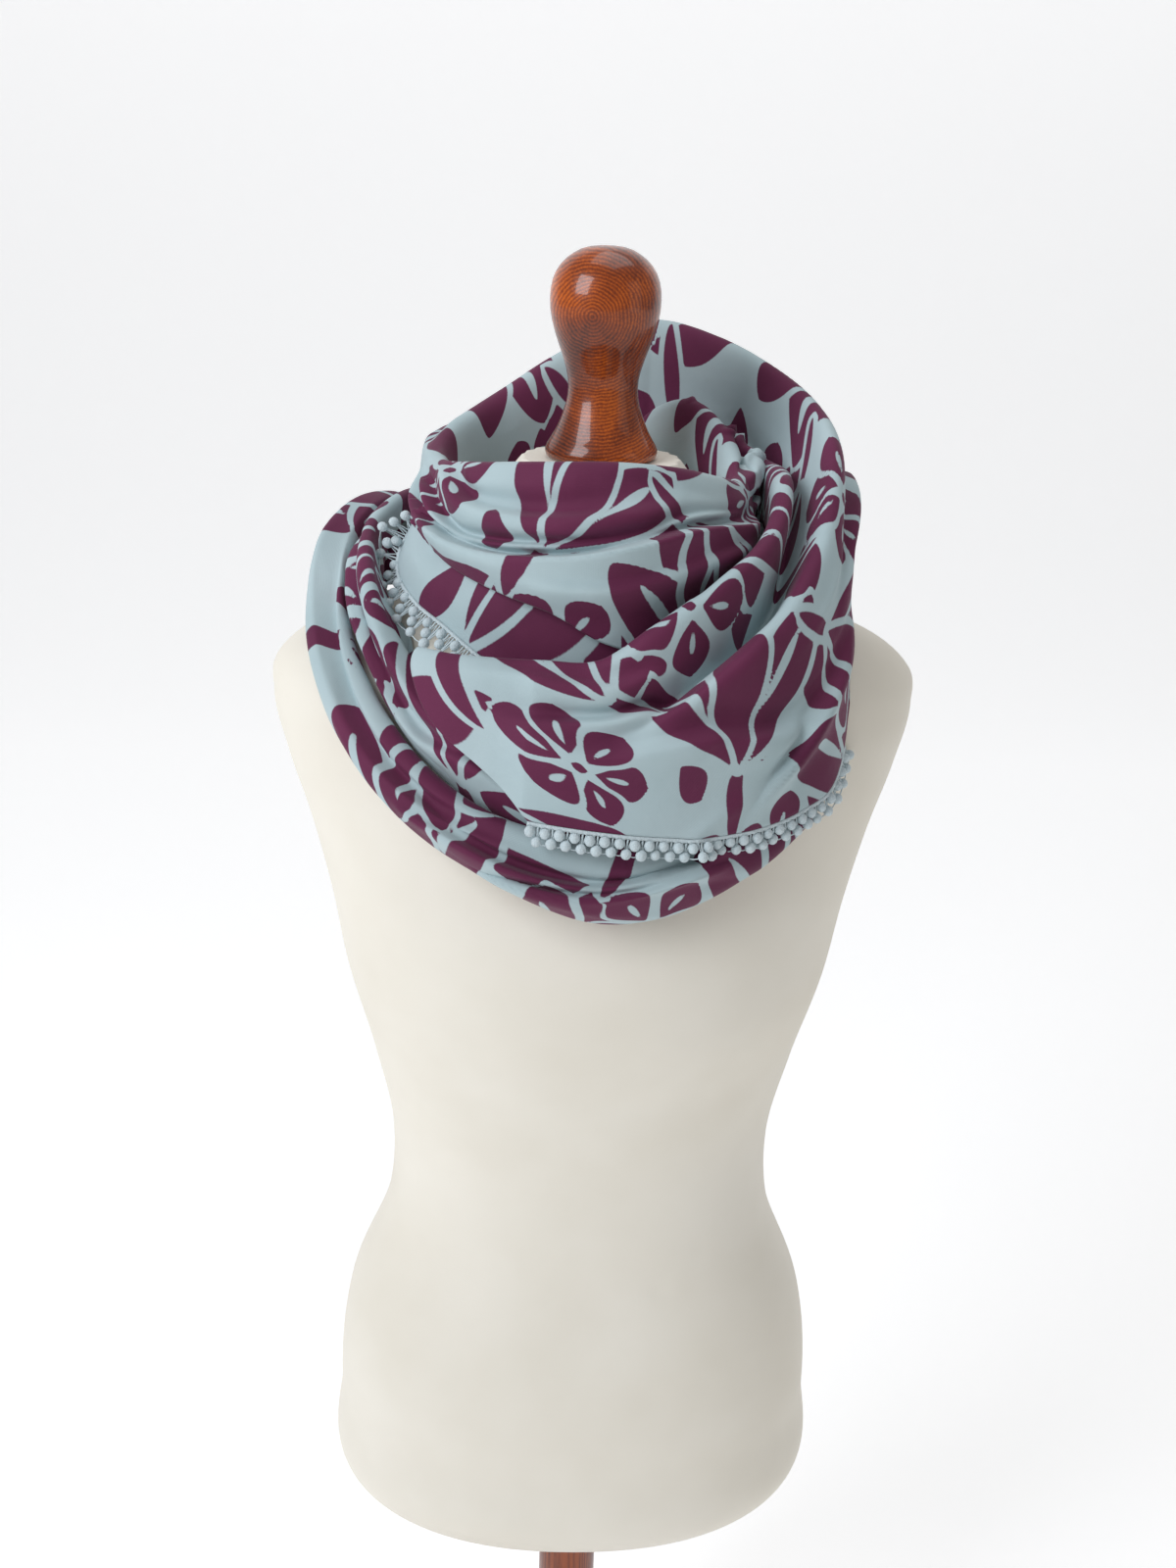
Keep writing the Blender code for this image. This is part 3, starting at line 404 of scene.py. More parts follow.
UPPER_FOLDS = fold_table(
    (
        (-92, 14, 0, 4, 10), (-80, 16, 3, 4, 12), (-68, 24, 4, 4, 14), (-58, 30, 4, 5, 14),
        (-48, 28, 4, 5, 14), (-34, 22, 3, 5, 14), (-20, 24, 0, 5, 14),
    ),
    (
        (-62, 4, 0, 5, 10), (-54, 7, 2, 5, 10), (-44, 9, 3, 5, 12), (-34, 14, 3, 5, 12),
        (-24, 18, 0, 5, 12),
    ),
    (
        (-232, 10, 0, 5, 14), (-196, 16, 4, 5, 14), (-150, 18, 4, 5, 14), (-112, 12, 0, 5, 12),
    ),
)

# The small creases: each runs from one azimuth and depth below the crest to another, bowed sideways by
# so many millimetres, as a ridge, or as a trough where its height is negative
CREASE_COLUMNS = "start start_down end end_down bow width height"
STRETCH_CREASES = table(
    CREASE_COLUMNS,
    (-40, 20, 10, 62, 8, 7, 1.6), (-34, 8, 6, 24, 4, 5, 1.2), (-20, 50, 40, 92, 6, 7, 1.8),
    (0, 84, 60, 96, -6, 8, 1.5), (12, 30, 66, 50, 10, 6, -2.0), (24, 66, 74, 84, -8, 7, 1.6),
    (40, 24, 78, 14, 3, 5, 1.4), (58, 40, 84, 110, 6, 8, 1.8), (66, 20, 92, 92, 6, 8, -1.6),
    (90, 30, 116, 90, 6, 8, 2.0), (104, 12, 128, 84, 8, 7, -1.6), (120, 50, 150, 20, 6, 9, 1.8),
    (140, 30, 168, 100, 8, 9, 2.0), (156, 10, 190, 70, 8, 8, 1.6), (170, 60, 214, 30, 6, 8, -1.6),
    (196, 10, 232, 34, 4, 6, 1.4), (208, 40, 250, 22, 4, 6, 1.4), (238, 4, 270, 16, 3, 5, 1.4),
    (262, 8, 300, 14, 4, 5, -1.6), (286, 4, 340, 12, 3, 5, 1.2), (296, 60, 352, 96, 6, 6, 1.5),
    (318, 36, 372, 44, 5, 5, 1.2), (350, 10, 404, 16, -4, 6, -1.8), (356, 74, 410, 58, 5, 6, 1.4),
    (384, 18, 430, 8, 4, 5, 1.8), (392, 34, 428, 24, 4, 5, -1.6), (436, 10, 470, 30, 4, 3.5, 5.5),
    (444, 30, 476, 12, 4, 3, -5.0), (456, 8, 486, 40, 4, 3.5, 6.0), (470, 34, 500, 18, 4, 3, -5.0),
    (482, 10, 516, 34, 4, 3.5, 5.5), (448, 6, 464, 44, -4, 3, 5.0), (474, 4, 482, 46, 3, 3, 5.0),
    (494, 6, 506, 48, -3, 3, 5.0), (440, 16, 500, 6, -3, 3, -4.5), (452, 40, 498, 50, 4, 4, 4.5),
    (462, -4, 474, 22, 3, 3, 4.5), (486, -4, 500, 26, -3, 3, 4.5),
)
LOWER_CREASES = table(
    CREASE_COLUMNS,
    (-66, 18, -18, 66, 4, 7, 2.2), (-50, 6, 0, 30, 5, 6, -1.8), (-34, 36, 22, 72, 5, 7, 2.0),
    (-10, 14, 44, 36, 4, 6, 1.8), (0, 54, 40, 30, 4, 6, -1.6), (-98, 8, -58, 34, 4, 6, 2.0),
    (-120, 30, -76, 12, 4, 6, -1.6), (-160, 10, -110, 36, 5, 8, 2.0), (-196, 40, -140, 20, 5, 8, -1.8),
    (-232, 12, -178, 44, 6, 8, 2.0),
)
UPPER_CREASES = table(
    CREASE_COLUMNS,
    (-84, 6, -40, 40, 4, 6, 2.0), (-66, 30, -22, 46, 4, 6, -1.6), (-46, 8, 0, 34, 4, 6, 1.6),
    (-120, 8, -76, 26, 4, 6, 1.8), (-170, 26, -110, 12, 5, 7, -1.6), (-220, 10, -160, 34, 5, 8, 1.8),
)
CORNER_CREASES = table(
    CREASE_COLUMNS,
    (0, 4, 90, 16, 5, 6, 1.2), (10, 18, 60, 6, 3, 5, -1.0),
)


def fold_lift(folds, azimuth, down):
    """How far the main folds stand off the leaf, in millimetres.

    Each rises to its crest by a soft step just above its line, and sinks back below it as
    exp(-(distance / length) squared). Where it starts, above the step, the cloth sinks into a narrow
    groove of the form exp(-(distance / width) squared).
    """
    lift = np.zeros(np.broadcast(azimuth, down).shape)
    for number in np.unique(folds["fold"]):
        rows = {name: values[folds["fold"] == number] for name, values in folds.items()}
        line, height, rise, length = (
            between(rows, "azimuth", name, azimuth) for name in ("down", "height", "rise", "length")
        )
        below = down - line
        crest = soft_step(below / rise + 1) * np.exp(-((np.maximum(below, 0) / (FOLD_REACH * length)) ** 2))
        groove = np.exp(-(((below + GROOVE_ABOVE * rise) / (GROOVE_WIDTH * rise)) ** 2))
        lift += FOLD_GAIN * height * (crest - GROOVE_DEPTH * groove)
    return lift


def crease_lift(creases, along, down):
    """The height of the small creases in millimetres, where along and down are millimetres of cloth.

    Each is 1 / (1 + (distance / width) squared) to the power 1.5 across its bowed line, a sharp ridge
    with long sides, and fades to nothing at both ends.
    """
    lift = np.zeros(along.shape)
    for start, start_down, end, end_down, bow, width, height in zip(*creases.values()):
        reach = np.hypot(end - start, end_down - start_down)
        towards = ((end - start) / reach, (end_down - start_down) / reach)
        ahead = (along - start) * towards[0] + (down - start_down) * towards[1]
        aside = (down - start_down) * towards[0] - (along - start) * towards[1]
        t = np.clip(ahead / reach, 0, 1)
        off = aside - 4 * bow * t * (1 - t)
        lift += height * np.sin(np.pi * t) ** 0.8 / (1 + (off / width) ** 2) ** 1.5
    return lift


def soft_profile(corners, count):
    """A cubic B-spline over each station's corner points, which it rounds as cloth does."""
    ends = (corners[:, :1], corners[:, :1], corners, corners[:, -1:], corners[:, -1:])
    cage = np.concatenate(ends, axis=1)
    spans = cage.shape[1] - 3
    at = np.linspace(0, spans, count)
    first = np.minimum(at.astype(int), spans - 1)
    t = at - first
    weights = ((1 - t) ** 3, 3 * t**3 - 6 * t**2 + 4, -3 * t**3 + 3 * t**2 + 3 * t + 1, t**3)
    return sum(w[None, :, None] * cage[:, first + k] for k, w in enumerate(weights)) / 6


def running_length(points):
    """The length of each row's path up to each of its points."""
    steps = np.linalg.norm(np.diff(points, axis=1), axis=-1)
    return np.concatenate((np.zeros((len(points), 1)), np.cumsum(steps, axis=1)), axis=1)


def even_section(corners, crest, count, folds, azimuth):
    """Points at even steps along each rounded and folded section, and how far each lies below the crest.

    A fold moves the cloth out and a little up. Every row's running length is scaled to just under 1 and
    moved up by the row's number, so that one interpolation reads all rows at once.
    """
    dense = soft_profile(corners, SECTION_SAMPLES)
    crest_sample = int((SECTION_SAMPLES - 1) * crest / (corners.shape[1] - 1))
    length = running_length(dense)
    lift = fold_lift(folds, azimuth[:, None], length - length[:, crest_sample, None])
    dense = dense + np.stack((lift, FOLD_RISE * lift), axis=-1)
    length = running_length(dense)
    whole = length[:, -1:]
    just_under = 0.999999
    rows = np.arange(len(dense))[:, None]
    share = np.linspace(0, 1, count)[None, :] * just_under
    at = (rows + share).ravel()
    known = (rows + just_under * length / whole).ravel()
    even = np.stack([np.interp(at, known, dense[..., k].ravel()) for k in range(2)], axis=-1)
    down = share * whole - length[:, crest_sample, None]
    return even.reshape(len(dense), count, 2), down


def loop_corners(rows, azimuth):
    """The corner points of a loop's section: inner hem, rolled crest, belly, low edge and tuck."""
    value = {name: between(rows, "azimuth", name, azimuth) for name in rows}
    lip = value["lip"]
    out, up = value["crest_out"], value["crest_up"]
    low_out, low_up, belly = value["low_out"], value["low_up"], value["belly"]
    corners = (
        (out - 2 * lip - 1 - value["reach"], up - value["inner"]),
        (out - 2 * lip, up - 1.6 * lip),
        (out - 1.9 * lip, up),
        (out - lip, up + 0.5 * lip),
        (out, up),
        (out + 0.25 * belly + 0.1 * (low_out - out), up - 0.2 * (up - low_up)),
        (out + belly + 0.4 * (low_out - out), up - 0.45 * (up - low_up)),
        (out + belly + 0.75 * (low_out - out), up - 0.75 * (up - low_up)),
        (low_out, low_up),
        (low_out - value["tuck_in"], low_up + value["tuck_up"]),
    )
    return np.stack([np.stack(c, axis=-1) for c in corners], axis=1)


def stretch_corners(azimuth):
    """The corner points of the long stretch's section, for azimuths in one array.

    It has an inner crest, a valley, an outer crest and a leaf. Where "crests" is -1 only the inner
    crest is there, at 0 both are, and at 1 only the outer one is.
    """
    value = {name: between(STRETCH, "azimuth", name, azimuth) for name in STRETCH}
    lip, bulge = value["lip"], value["belly"]
    inner, valley, outer, low = (
        np.stack((value[name + "_out"], value[name + "_up"]), axis=-1)
        for name in ("inner", "valley", "outer", "low")
    )

    def off(point, out, up):
        return point + np.stack(np.broadcast_arrays(out, up), axis=-1)

    def along(start, end, share, bulge=0.0):
        return off(start + (end - start) * share, bulge, 0 * lip)

    inner_roll = (
        off(inner, -2 * lip - 1, -value["hem"]),
        off(inner, -2 * lip, -1.6 * lip),
        off(inner, -1.9 * lip, 0.0),
        off(inner, -lip, 0.5 * lip),
        inner,
    )
    outer_roll = (off(outer, -1.6 * lip, 0.0), off(outer, -0.9 * lip, 0.5 * lip), outer)
    leaf_shares = ((0.2, 0.5), (0.45, 1.0), (0.75, 0.8))
    leaf = (*(along(outer, low, share, part * bulge) for share, part in leaf_shares), low)
    both = (
        *inner_roll,
        0.45 * off(inner, 2.0, 0.0) + 0.55 * off(valley, 1.0, 0.0),
        off(valley, 2.0, 0.0),
        off(valley, 6.0, -3.0),
        0.5 * off(valley, 8.0, 0.0) + 0.5 * off(outer, -1.6 * lip, 0.0),
        *outer_roll,
        *leaf,
    )
    shares = (0.08, 0.16, 0.24, 0.32, 0.40, 0.48, 0.56, 0.66, 0.77, 0.88)
    inner_only = (*inner_roll, *(along(inner, low, share, bulge) for share in shares), low)
    outer_hem = off(outer, -2.4 * lip - 1, -value["hem"])
    outer_inside = off(outer, -2 * lip, -1.6 * lip)
    shares = (0, 0.12, 0.25, 0.37, 0.5, 0.62, 0.75, 0.87, 1)
    outer_only = (*(along(outer_hem, outer_inside, share) for share in shares), *outer_roll, *leaf)
    both, inner_only, outer_only = (np.stack(c, axis=1) for c in (both, inner_only, outer_only))
    crests = value["crests"][:, None, None]
    weights = (1 - abs(crests), np.clip(-crests, 0, 1), np.clip(crests, 0, 1))
    return both * weights[0] + inner_only * weights[1] + outer_only * weights[2]


def normals(points):
    """The unit normal at each point of a grid: across the two directions of the grid."""
    return unit(np.cross(np.gradient(points, axis=1), np.gradient(points, axis=0)))


def creased(points, creases, along, down):
    """The small creases, raised along the surface's normals."""
    lift = crease_lift(creases, along, down) * MM
    return points + normals(points) * lift[..., None]


def creased_wrap(points, creases, azimuth, down):
    """The small creases of a wrap, which start and end at azimuths."""
    scaled = dict(creases, start=MM_PER_DEGREE * creases["start"], end=MM_PER_DEGREE * creases["end"])
    return creased(points, scaled, np.broadcast_to(MM_PER_DEGREE * azimuth, down.shape), down)


def keep_clear(points, rolls, clearance=CLEARANCE, reach=14 * MM):
    """Moves points that lie too near to other stretches of cloth, or through them, off their outer sides.

    Each point's height over the nearest point of the other cloth is measured along that one's normal.
    The push fades where the point lies beside the cloth's edge, and towards the end of the reach.
    """
    flat = points.reshape(-1, 3)
    softness = 0.5 * MM
    for roll in rolls:
        other = roll[::2, ::2].reshape(-1, 3)
        normal = normals(roll)[::2, ::2].reshape(-1, 3)
        square = (other**2).sum(axis=1)[None, :]
        blocks = np.array_split(flat, 1 + len(flat) // 2000)
        nearest = np.concatenate([np.argmin(square - 2 * block @ other.T, axis=1) for block in blocks])
        gap = flat - other[nearest]
        distance = np.linalg.norm(gap, axis=1)
        height = (gap * normal[nearest]).sum(axis=1)
        facing = soft_step((abs(height) / np.maximum(distance, 1e-9) - 0.35) / 0.35)
        near = soft_step((reach - distance) / (0.3 * reach))
        push = softness * np.logaddexp(0, (clearance - height) / softness)
        flat = flat + (push * facing * near)[:, None] * normal[nearest]
    return flat.reshape(points.shape)


def loop_surface(rows, across, folds, creases):
    """A loop's middle surface and how far each point lies below its crest, a row for each azimuth."""
    first, last = rows["azimuth"][0], rows["azimuth"][-1]
    azimuth = np.arange(first, last + 0.5 * LOOP_STEP, LOOP_STEP)
    section, down = even_section(loop_corners(rows, azimuth), LOOP_CREST, across, folds, azimuth)
    points = lift_off_body(place(azimuth[:, None], section[..., 0], section[..., 1]), CLEARANCE)
    return creased_wrap(points, creases, azimuth[:, None], down), down


def stretch_surface():
    """The long stretch's middle surface: panel, collar, cowl and tucked end in one cloth.

    Its columns start along the panel's slanting left edge, so up to the panel's end each column is
    squeezed evenly round the neck.
    """
    base = np.arange(STRETCH_START, TUCKED_END + BASE_STEP, BASE_STEP)
    corners = stretch_corners(base)
    section, down = even_section(corners, STRETCH_CREST, STRETCH_ACROSS, STRETCH_FOLDS, base)
    points = place(base[:, None], section[..., 0], section[..., 1])
    front_rows = np.arange(PANEL_START, COLLAR_END, PANEL_STEP)
    rows = np.concatenate((front_rows, np.arange(COLLAR_END, TUCKED_END, COWL_STEP)))[:, None]
    share = np.clip((rows - PANEL_START) / (PANEL_END - PANEL_START), 0, 1)
    left = between(PANEL_LEFT_EDGE, "across", "azimuth", np.linspace(0, 1, STRETCH_ACROSS))[None, :]
    azimuth = np.where(rows < PANEL_END, left + (PANEL_END - left) * share, rows)
    step = (azimuth - base[0]) / BASE_STEP
    low = np.minimum(step.astype(int), len(base) - 2)
    part = step - low
    column = np.arange(STRETCH_ACROSS)[None, :]
    points = points[low, column] * (1 - part)[..., None] + points[low + 1, column] * part[..., None]
    down = down[low, column] * (1 - part) + down[low + 1, column] * part
    return creased_wrap(points, STRETCH_CREASES, azimuth, down), down, azimuth


def corner_surface():
    """The trimmed corner's middle surface, from its hidden upper side to its edge.

    It bulges out by 4 sin(pi t) millimetres across. Its creases count 16 mm from station to station
    and 28 mm across.
    """
    station = np.linspace(0, TRIMMED_CORNER["station"][-1], CORNER_STATIONS)
    value = {name: between(TRIMMED_CORNER, "station", name, station) for name in TRIMMED_CORNER}
    share = np.linspace(0, 1, CORNER_ACROSS)[None, :]
    bulge = 4 * np.sin(np.pi * share)

    def mix(name):
        return value["top_" + name][:, None] * (1 - share) + value["edge_" + name][:, None] * share

    points = place(mix("azimuth"), mix("out") + bulge, mix("up"))
    along, down = np.broadcast_arrays(16.0 * station[:, None], 28.0 * share)
    return creased(points, CORNER_CREASES, along, down)


# Where the trims are sewn on, in azimuths along the long stretch's edge and in stations along the corner's.
# A trim hangs the way that the cloth runs from a column behind its edge, and the corner's is flared out.
FRONT_TRIM = (-14, 60)
SIDE_TRIM = (98, 138)
CORNER_TRIM = slice(6, -26)
BEHIND_EDGE = -4
BEHIND_CORNER_EDGE = -7
CORNER_FLARE = (0.945, 0.945, 1.0)
CORNER_DEPTH = 30

# The print: a plain floral of tulips, round-petalled flowers and long leaves, cut out like paper shapes.
# It repeats every so many millimetres along and across the cloth.
REPEAT = (252.0, 218.0)
TULIPS = table(
    "along across angle size",
    (58, 188, -100, 112),
    (192, 92, -66, 102),
    (148, 210, -128, 78),
    (34, 64, 52, 72),
)
FLOWERS = table("along across radius petals turn", (204, 168, 38, 5, 14), (108, 38, 35, 6, 40))
LEAVES = table(
    "along across angle length width bend",
    (8, 32, 64, 90, 19, 22),
    (238, 8, 122, 90, 19, -20),
    (158, 8, 24, 80, 17, 15),
    (12, 175, -64, 74, 16, 14),
    (100, 108, 34, 82, 17, -15),
    (250, 212, -96, 80, 16, 14),
    (124, 212, -24, 64, 14, 12),
    (82, 8, 170, 70, 15, -13),
    (246, 116, 70, 70, 15, 14),
    (172, 126, 100, 62, 14, -10),
)
DROPS = table(
    "along across angle length width",
    (160, 62, 80, 32, 11),
    (70, 88, -40, 32, 11),
    (152, 158, 150, 32, 11),
)


def petal_depth(along, across, angle, length, width, bend, swell):
    """How deep in millimetres a point lies inside a petal that starts at the origin.

    Its half width is the width times sin(pi t to the power swell) to the power 0.65, so it is widest
    near its end where swell is over 1, and its middle line bends sideways with t squared.
    """
    turn = np.radians(angle)
    ahead = along * np.cos(turn) + across * np.sin(turn)
    aside = across * np.cos(turn) - along * np.sin(turn)
    t = np.clip(ahead / length, 0, 1)
    beyond = abs(ahead - t * length)
    half = width * np.sin(np.pi * t**swell) ** 0.65
    return (half - abs(aside - bend * t * t)) * 0.9 - beyond


def printed(along, across, start):
    """The depth in millimetres inside the print's plum shapes, less than nothing on the pale ground.

    Each shape first clears a border of ground round itself, then fills its own place; the slits in a
    tulip and the veins in a flower are narrow petals that are taken out again.
    """
    along = along + start[0]
    across = across + start[1]
    depth = np.full(along.shape, -9.0)

    def add(centre, offset, angle, length, width, bend, swell, border, keep=True):
        """One petal, measured from its own middle, so that the repeat never cuts it."""
        nonlocal depth
        turn = np.radians(angle)
        ahead = np.array((np.cos(turn), np.sin(turn)))
        middle = np.array(centre) + (offset + 0.5 * length) * ahead
        near_along = (along - middle[0] + REPEAT[0] / 2) % REPEAT[0] - REPEAT[0] / 2
        near_across = (across - middle[1] + REPEAT[1] / 2) % REPEAT[1] - REPEAT[1] / 2
        half = 0.5 * length * ahead
        shape = petal_depth(near_along + half[0], near_across + half[1], angle, length, width, bend, swell)
        if keep:
            depth = np.maximum(np.minimum(depth, -(shape + border)), shape)
        else:
            depth = np.minimum(depth, -shape)

    for *centre, angle, length, width in zip(*DROPS.values()):
        add(centre, 0, angle, length, width, 3.0, 1.4, 5.0)
    for *centre, angle, length, width, bend in zip(*LEAVES.values()):
        add(centre, 0, angle, length, width, bend, 1.15, 5.4)
    for *centre, angle, size in zip(*TULIPS.values()):
        add(centre, -0.5 * size, angle, 0.6 * size, 0.06 * size, 0.0, 1.0, 4.0)
        for side in (-1, 1):
            add(centre, 0, angle + side * 24, size, 0.21 * size, side * 0.16 * size, 1.35, 5.0)
        add(centre, 0.02 * size, angle, 0.92 * size, 0.17 * size, 0.03 * size, 1.5, 4.0)
        for side in (-1, 1):
            slit = (0.5 * size, 0.034 * size, side * 0.05 * size, 1.6)
            add(centre, 0.34 * size, angle + side * 27, *slit, 0, keep=False)
    for *centre, radius, petals, turn in zip(*FLOWERS.values()):
        for k in range(int(petals)):
            angle = turn + 360 * k / petals
            add(centre, 0.2 * radius, angle, 0.88 * radius, 0.37 * radius, 2.0, 1.5, 3.4)
            add(centre, 0.34 * radius, angle, 0.42 * radius, 0.055 * radius, 1.0, 1.4, 0, keep=False)
        add(centre, -0.1 * radius, turn, 0.2 * radius, 0.1 * radius, 0.0, 1.0, 1.8)
    return np.clip(depth, -6, 6)


def grid_quads(rounds, count, closed_round=False):
    """The quads of a grid, whose normals point out of the roll."""
    numbers = np.arange(rounds * count).reshape(rounds, count)
    if closed_round:
        numbers = np.concatenate((numbers, numbers[:1]))
    quads = np.stack((numbers[:-1, :-1], numbers[:-1, 1:], numbers[1:, 1:], numbers[1:, :-1]), axis=-1)
    return quads.reshape(-1, 4)


def mesh_piece(name, points, quads, finish):
    """An object at the origin from arrays of points and of faces with four corners each."""
    mesh = bpy.data.meshes.new(name)
    mesh.vertices.add(len(points))
    mesh.vertices.foreach_set("co", points.astype(np.float32).ravel())
    mesh.loops.add(quads.size)
    mesh.loops.foreach_set("vertex_index", quads.astype(np.int32).ravel())
    mesh.polygons.add(len(quads))
    mesh.polygons.foreach_set("loop_start", np.arange(0, quads.size, 4, dtype=np.int32))
    mesh.polygons.foreach_set("use_smooth", np.ones(len(quads), bool))
    mesh.update(calc_edges=True)
    mesh.validate()
    piece = bpy.data.objects.new(name, mesh)
    bpy.context.scene.collection.objects.link(piece)
    mesh.materials.append(finish)
    return piece


def along_cloth(points):
    """Millimetres along the cloth at each row, by the length of the column 0.6 of the way across."""
    column = points[None, :, int(0.6 * points.shape[1])]
    return running_length(column)[0][:, None] / MM


def cloth_piece(name, points, along, down, finish):
    """A stretch of printed cloth: its surface, its print and the wall of the cotton.

    The cloth's own coordinates are millimetres along it and below its crest. They go into the UV
    map, and the depth inside the print's shapes goes into an attribute.
    """
    solids, print_start = STRETCHES[name]
    along, down = np.broadcast_arrays(along, down)
    piece = mesh_piece(name, points.reshape(-1, 3), grid_quads(*points.shape[:2]), finish)
    mesh = piece.data
    depth = mesh.attributes.new("print_depth", "FLOAT", "POINT")
    depth.data.foreach_set("value", printed(along, down, print_start).astype(np.float32).ravel())
    chart = mesh.uv_layers.new(name="cloth")
    corner = np.empty(len(mesh.loops), np.int32)
    mesh.loops.foreach_get("vertex_index", corner)
    flat = np.stack((along.ravel(), down.ravel()), axis=1)[corner] * MM
    chart.data.foreach_set("uv", flat.astype(np.float32).ravel())
    wall = piece.modifiers.new("cotton", "SOLIDIFY")
    wall.thickness = COTTON
    wall.offset = 0.0
    finished(piece, solids)


# The solids that each stretch of cloth stands for, and where its print starts in millimetres
STRETCHES = {
    "panel_and_collar": (["front_panel", "back_collar"], (40, 30)),
    "cowl_and_tucked_end": (["front_cowl", "tucked_end"], (40, 30)),
    "lower_loop_cloth": (["lower_loop"], (150, 90)),
    "upper_loop_cloth": (["upper_loop"], (10, 150)),
    "corner_cloth": (["trimmed_corner"], (96, 60)),
}


def finished(piece, solids):
    """The piece rides on the form and stands for its solids."""
    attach(piece, "root")
    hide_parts(*solids)


def weld_poles(piece, distance):
    """Joins the points that meet on the middle line."""
    weld = piece.modifiers.new("poles", "WELD")
    weld.merge_threshold = distance


def turned_piece(name, profile, bottom, sides, finish, solid):
    """A turned piece: the profile, down its outer side, carried round the middle line."""
    radius, height = np.array(profile, float).T * MM
    turn = np.linspace(0, 2 * math.pi, sides, endpoint=False)[:, None]
    rings = (radius * np.sin(turn), -radius * np.cos(turn), bottom + height + 0 * turn)
    points = np.stack(rings, axis=-1)
    piece = mesh_piece(name, points.reshape(-1, 3), grid_quads(sides, len(profile), True), finish)
    weld_poles(piece, 0.1 * MM)
    finished(piece, [solid])


# Small dents in the stuffed body: azimuth, height, reach and depth in millimetres
DENTS = table(
    "azimuth up reach depth",
    (22, -420, 5, 0.9),
    (36, -392, 4, 0.8),
    (18, -500, 9, 0.7),
    (-30, -470, 14, 0.8),
    (-8, -590, 16, 0.9),
    (52, -300, 16, 1.0),
    (-48, -330, 18, 1.0),
    (10, -120, 18, 0.8),
    (-26, -210, 14, 0.7),
    (120, -380, 20, 1.1),
    (170, -250, 22, 1.1),
    (-130, -420, 20, 1.1),
    (-160, -160, 22, 1.0),
)


def gather_wave(turn):
    """The cover's gathers round the neck, from -1 to 1: sin(22 turn + 0.6 sin(3 turn)), a little uneven."""
    return np.sin(22 * turn + 0.6 * np.sin(3 * turn))


def body_surface(sides, levels):
    """The form's body: its level sections carried up, with small dents, and gathers round the neck's top."""
    up = np.linspace(0, 1, levels)
    up = np.interp(up, (0, 0.04, 0.62, 0.9, 1), (-648, -640, -60, 108, 117))[None, :]
    turn = np.linspace(0, 2 * math.pi, sides, endpoint=False)[:, None]
    half_width, front, back, power = body_section(up)
    across, along = np.sin(turn), -np.cos(turn)
    depth = np.where(along < 0, front, back)
    size = (np.abs(across) ** power + np.abs(along) ** power) ** (-1 / power)
    out = size * np.hypot(half_width * across, depth * along)
    degrees = np.degrees(turn)
    for azimuth, height, reach, deep in zip(*DENTS.values()):
        around = np.radians((degrees - azimuth + 180) % 360 - 180) * out
        far = np.hypot(around, up - height) / reach
        size = size * (1 - deep * np.exp(-(far**2)) / out)
    gathers = soft_step((up - 78) / 34) * (0.9 * gather_wave(turn))
    size = size * (1 + gathers / out)
    heights = np.broadcast_to(up * MM + SHOULDER_HEIGHT, size.shape)
    return np.stack((half_width * across * size * MM, depth * along * size * MM, heights), axis=-1)


def body_piece(finish):
    """The stuffed body in its cover, closed under and over by rings that run in to the middle."""
    sides, levels = 192, 210
    wall = body_surface(sides, levels)
    wave = gather_wave(np.linspace(0, 2 * math.pi, sides, endpoint=False))
    under = []
    for share, sink in ((0.0, 0.8), (0.4, 0.8), (0.7, 0.4), (0.94, 0.0)):
        under.append(wall[:, 0] * (share, share, 1) + np.array((0, 0, sink * MM)))
    over = []
    for share in (0.965, 0.92, 0.85, 0.76, 0.6, 0.3, 0.0):
        pleat = share * 0.135 * wave * (share > 0.7)
        ring = wall[:, -1] * (share, share, 1)
        ring[:, 2] += (pleat - 0.2) * MM
        over.append(ring)
    points = np.concatenate((np.stack(under, axis=1), wall, np.stack(over, axis=1)), axis=1)
    quads = grid_quads(sides, points.shape[1], True)[:, ::-1]
    piece = mesh_piece("jersey_covered_body", points.reshape(-1, 3), quads, finish)
    weld_poles(piece, 0.05 * MM)
    finished(piece, ["form_body"])


def even_path(points, step):
    """Points at even steps along a path, about as far apart as asked."""
    length = running_length(points[None])[0]
    wanted = np.linspace(0, length[-1], int(round(length[-1] / step)) + 1)
    return np.stack([np.interp(wanted, length, points[:, k]) for k in range(3)], axis=1)


def ball(rounds, levels):
    """Points of a ball of radius 1 in columns from pole to pole, without the two poles."""
    turn = 2 * math.pi * np.arange(rounds)[:, None] / rounds
    tilt = math.pi * np.arange(1, levels)[None, :] / levels
    level = np.cos(tilt) + 0 * turn
    return np.stack((np.sin(tilt) * np.cos(turn), np.sin(tilt) * np.sin(turn), level), axis=-1)


def copies(shape, centres, directions, sizes):
    """A shape's points set at each centre, turned to its three directions and scaled by its three sizes."""
    return centres[:, None] + np.einsum("pk,nk,nkj->npj", shape, sizes, directions)


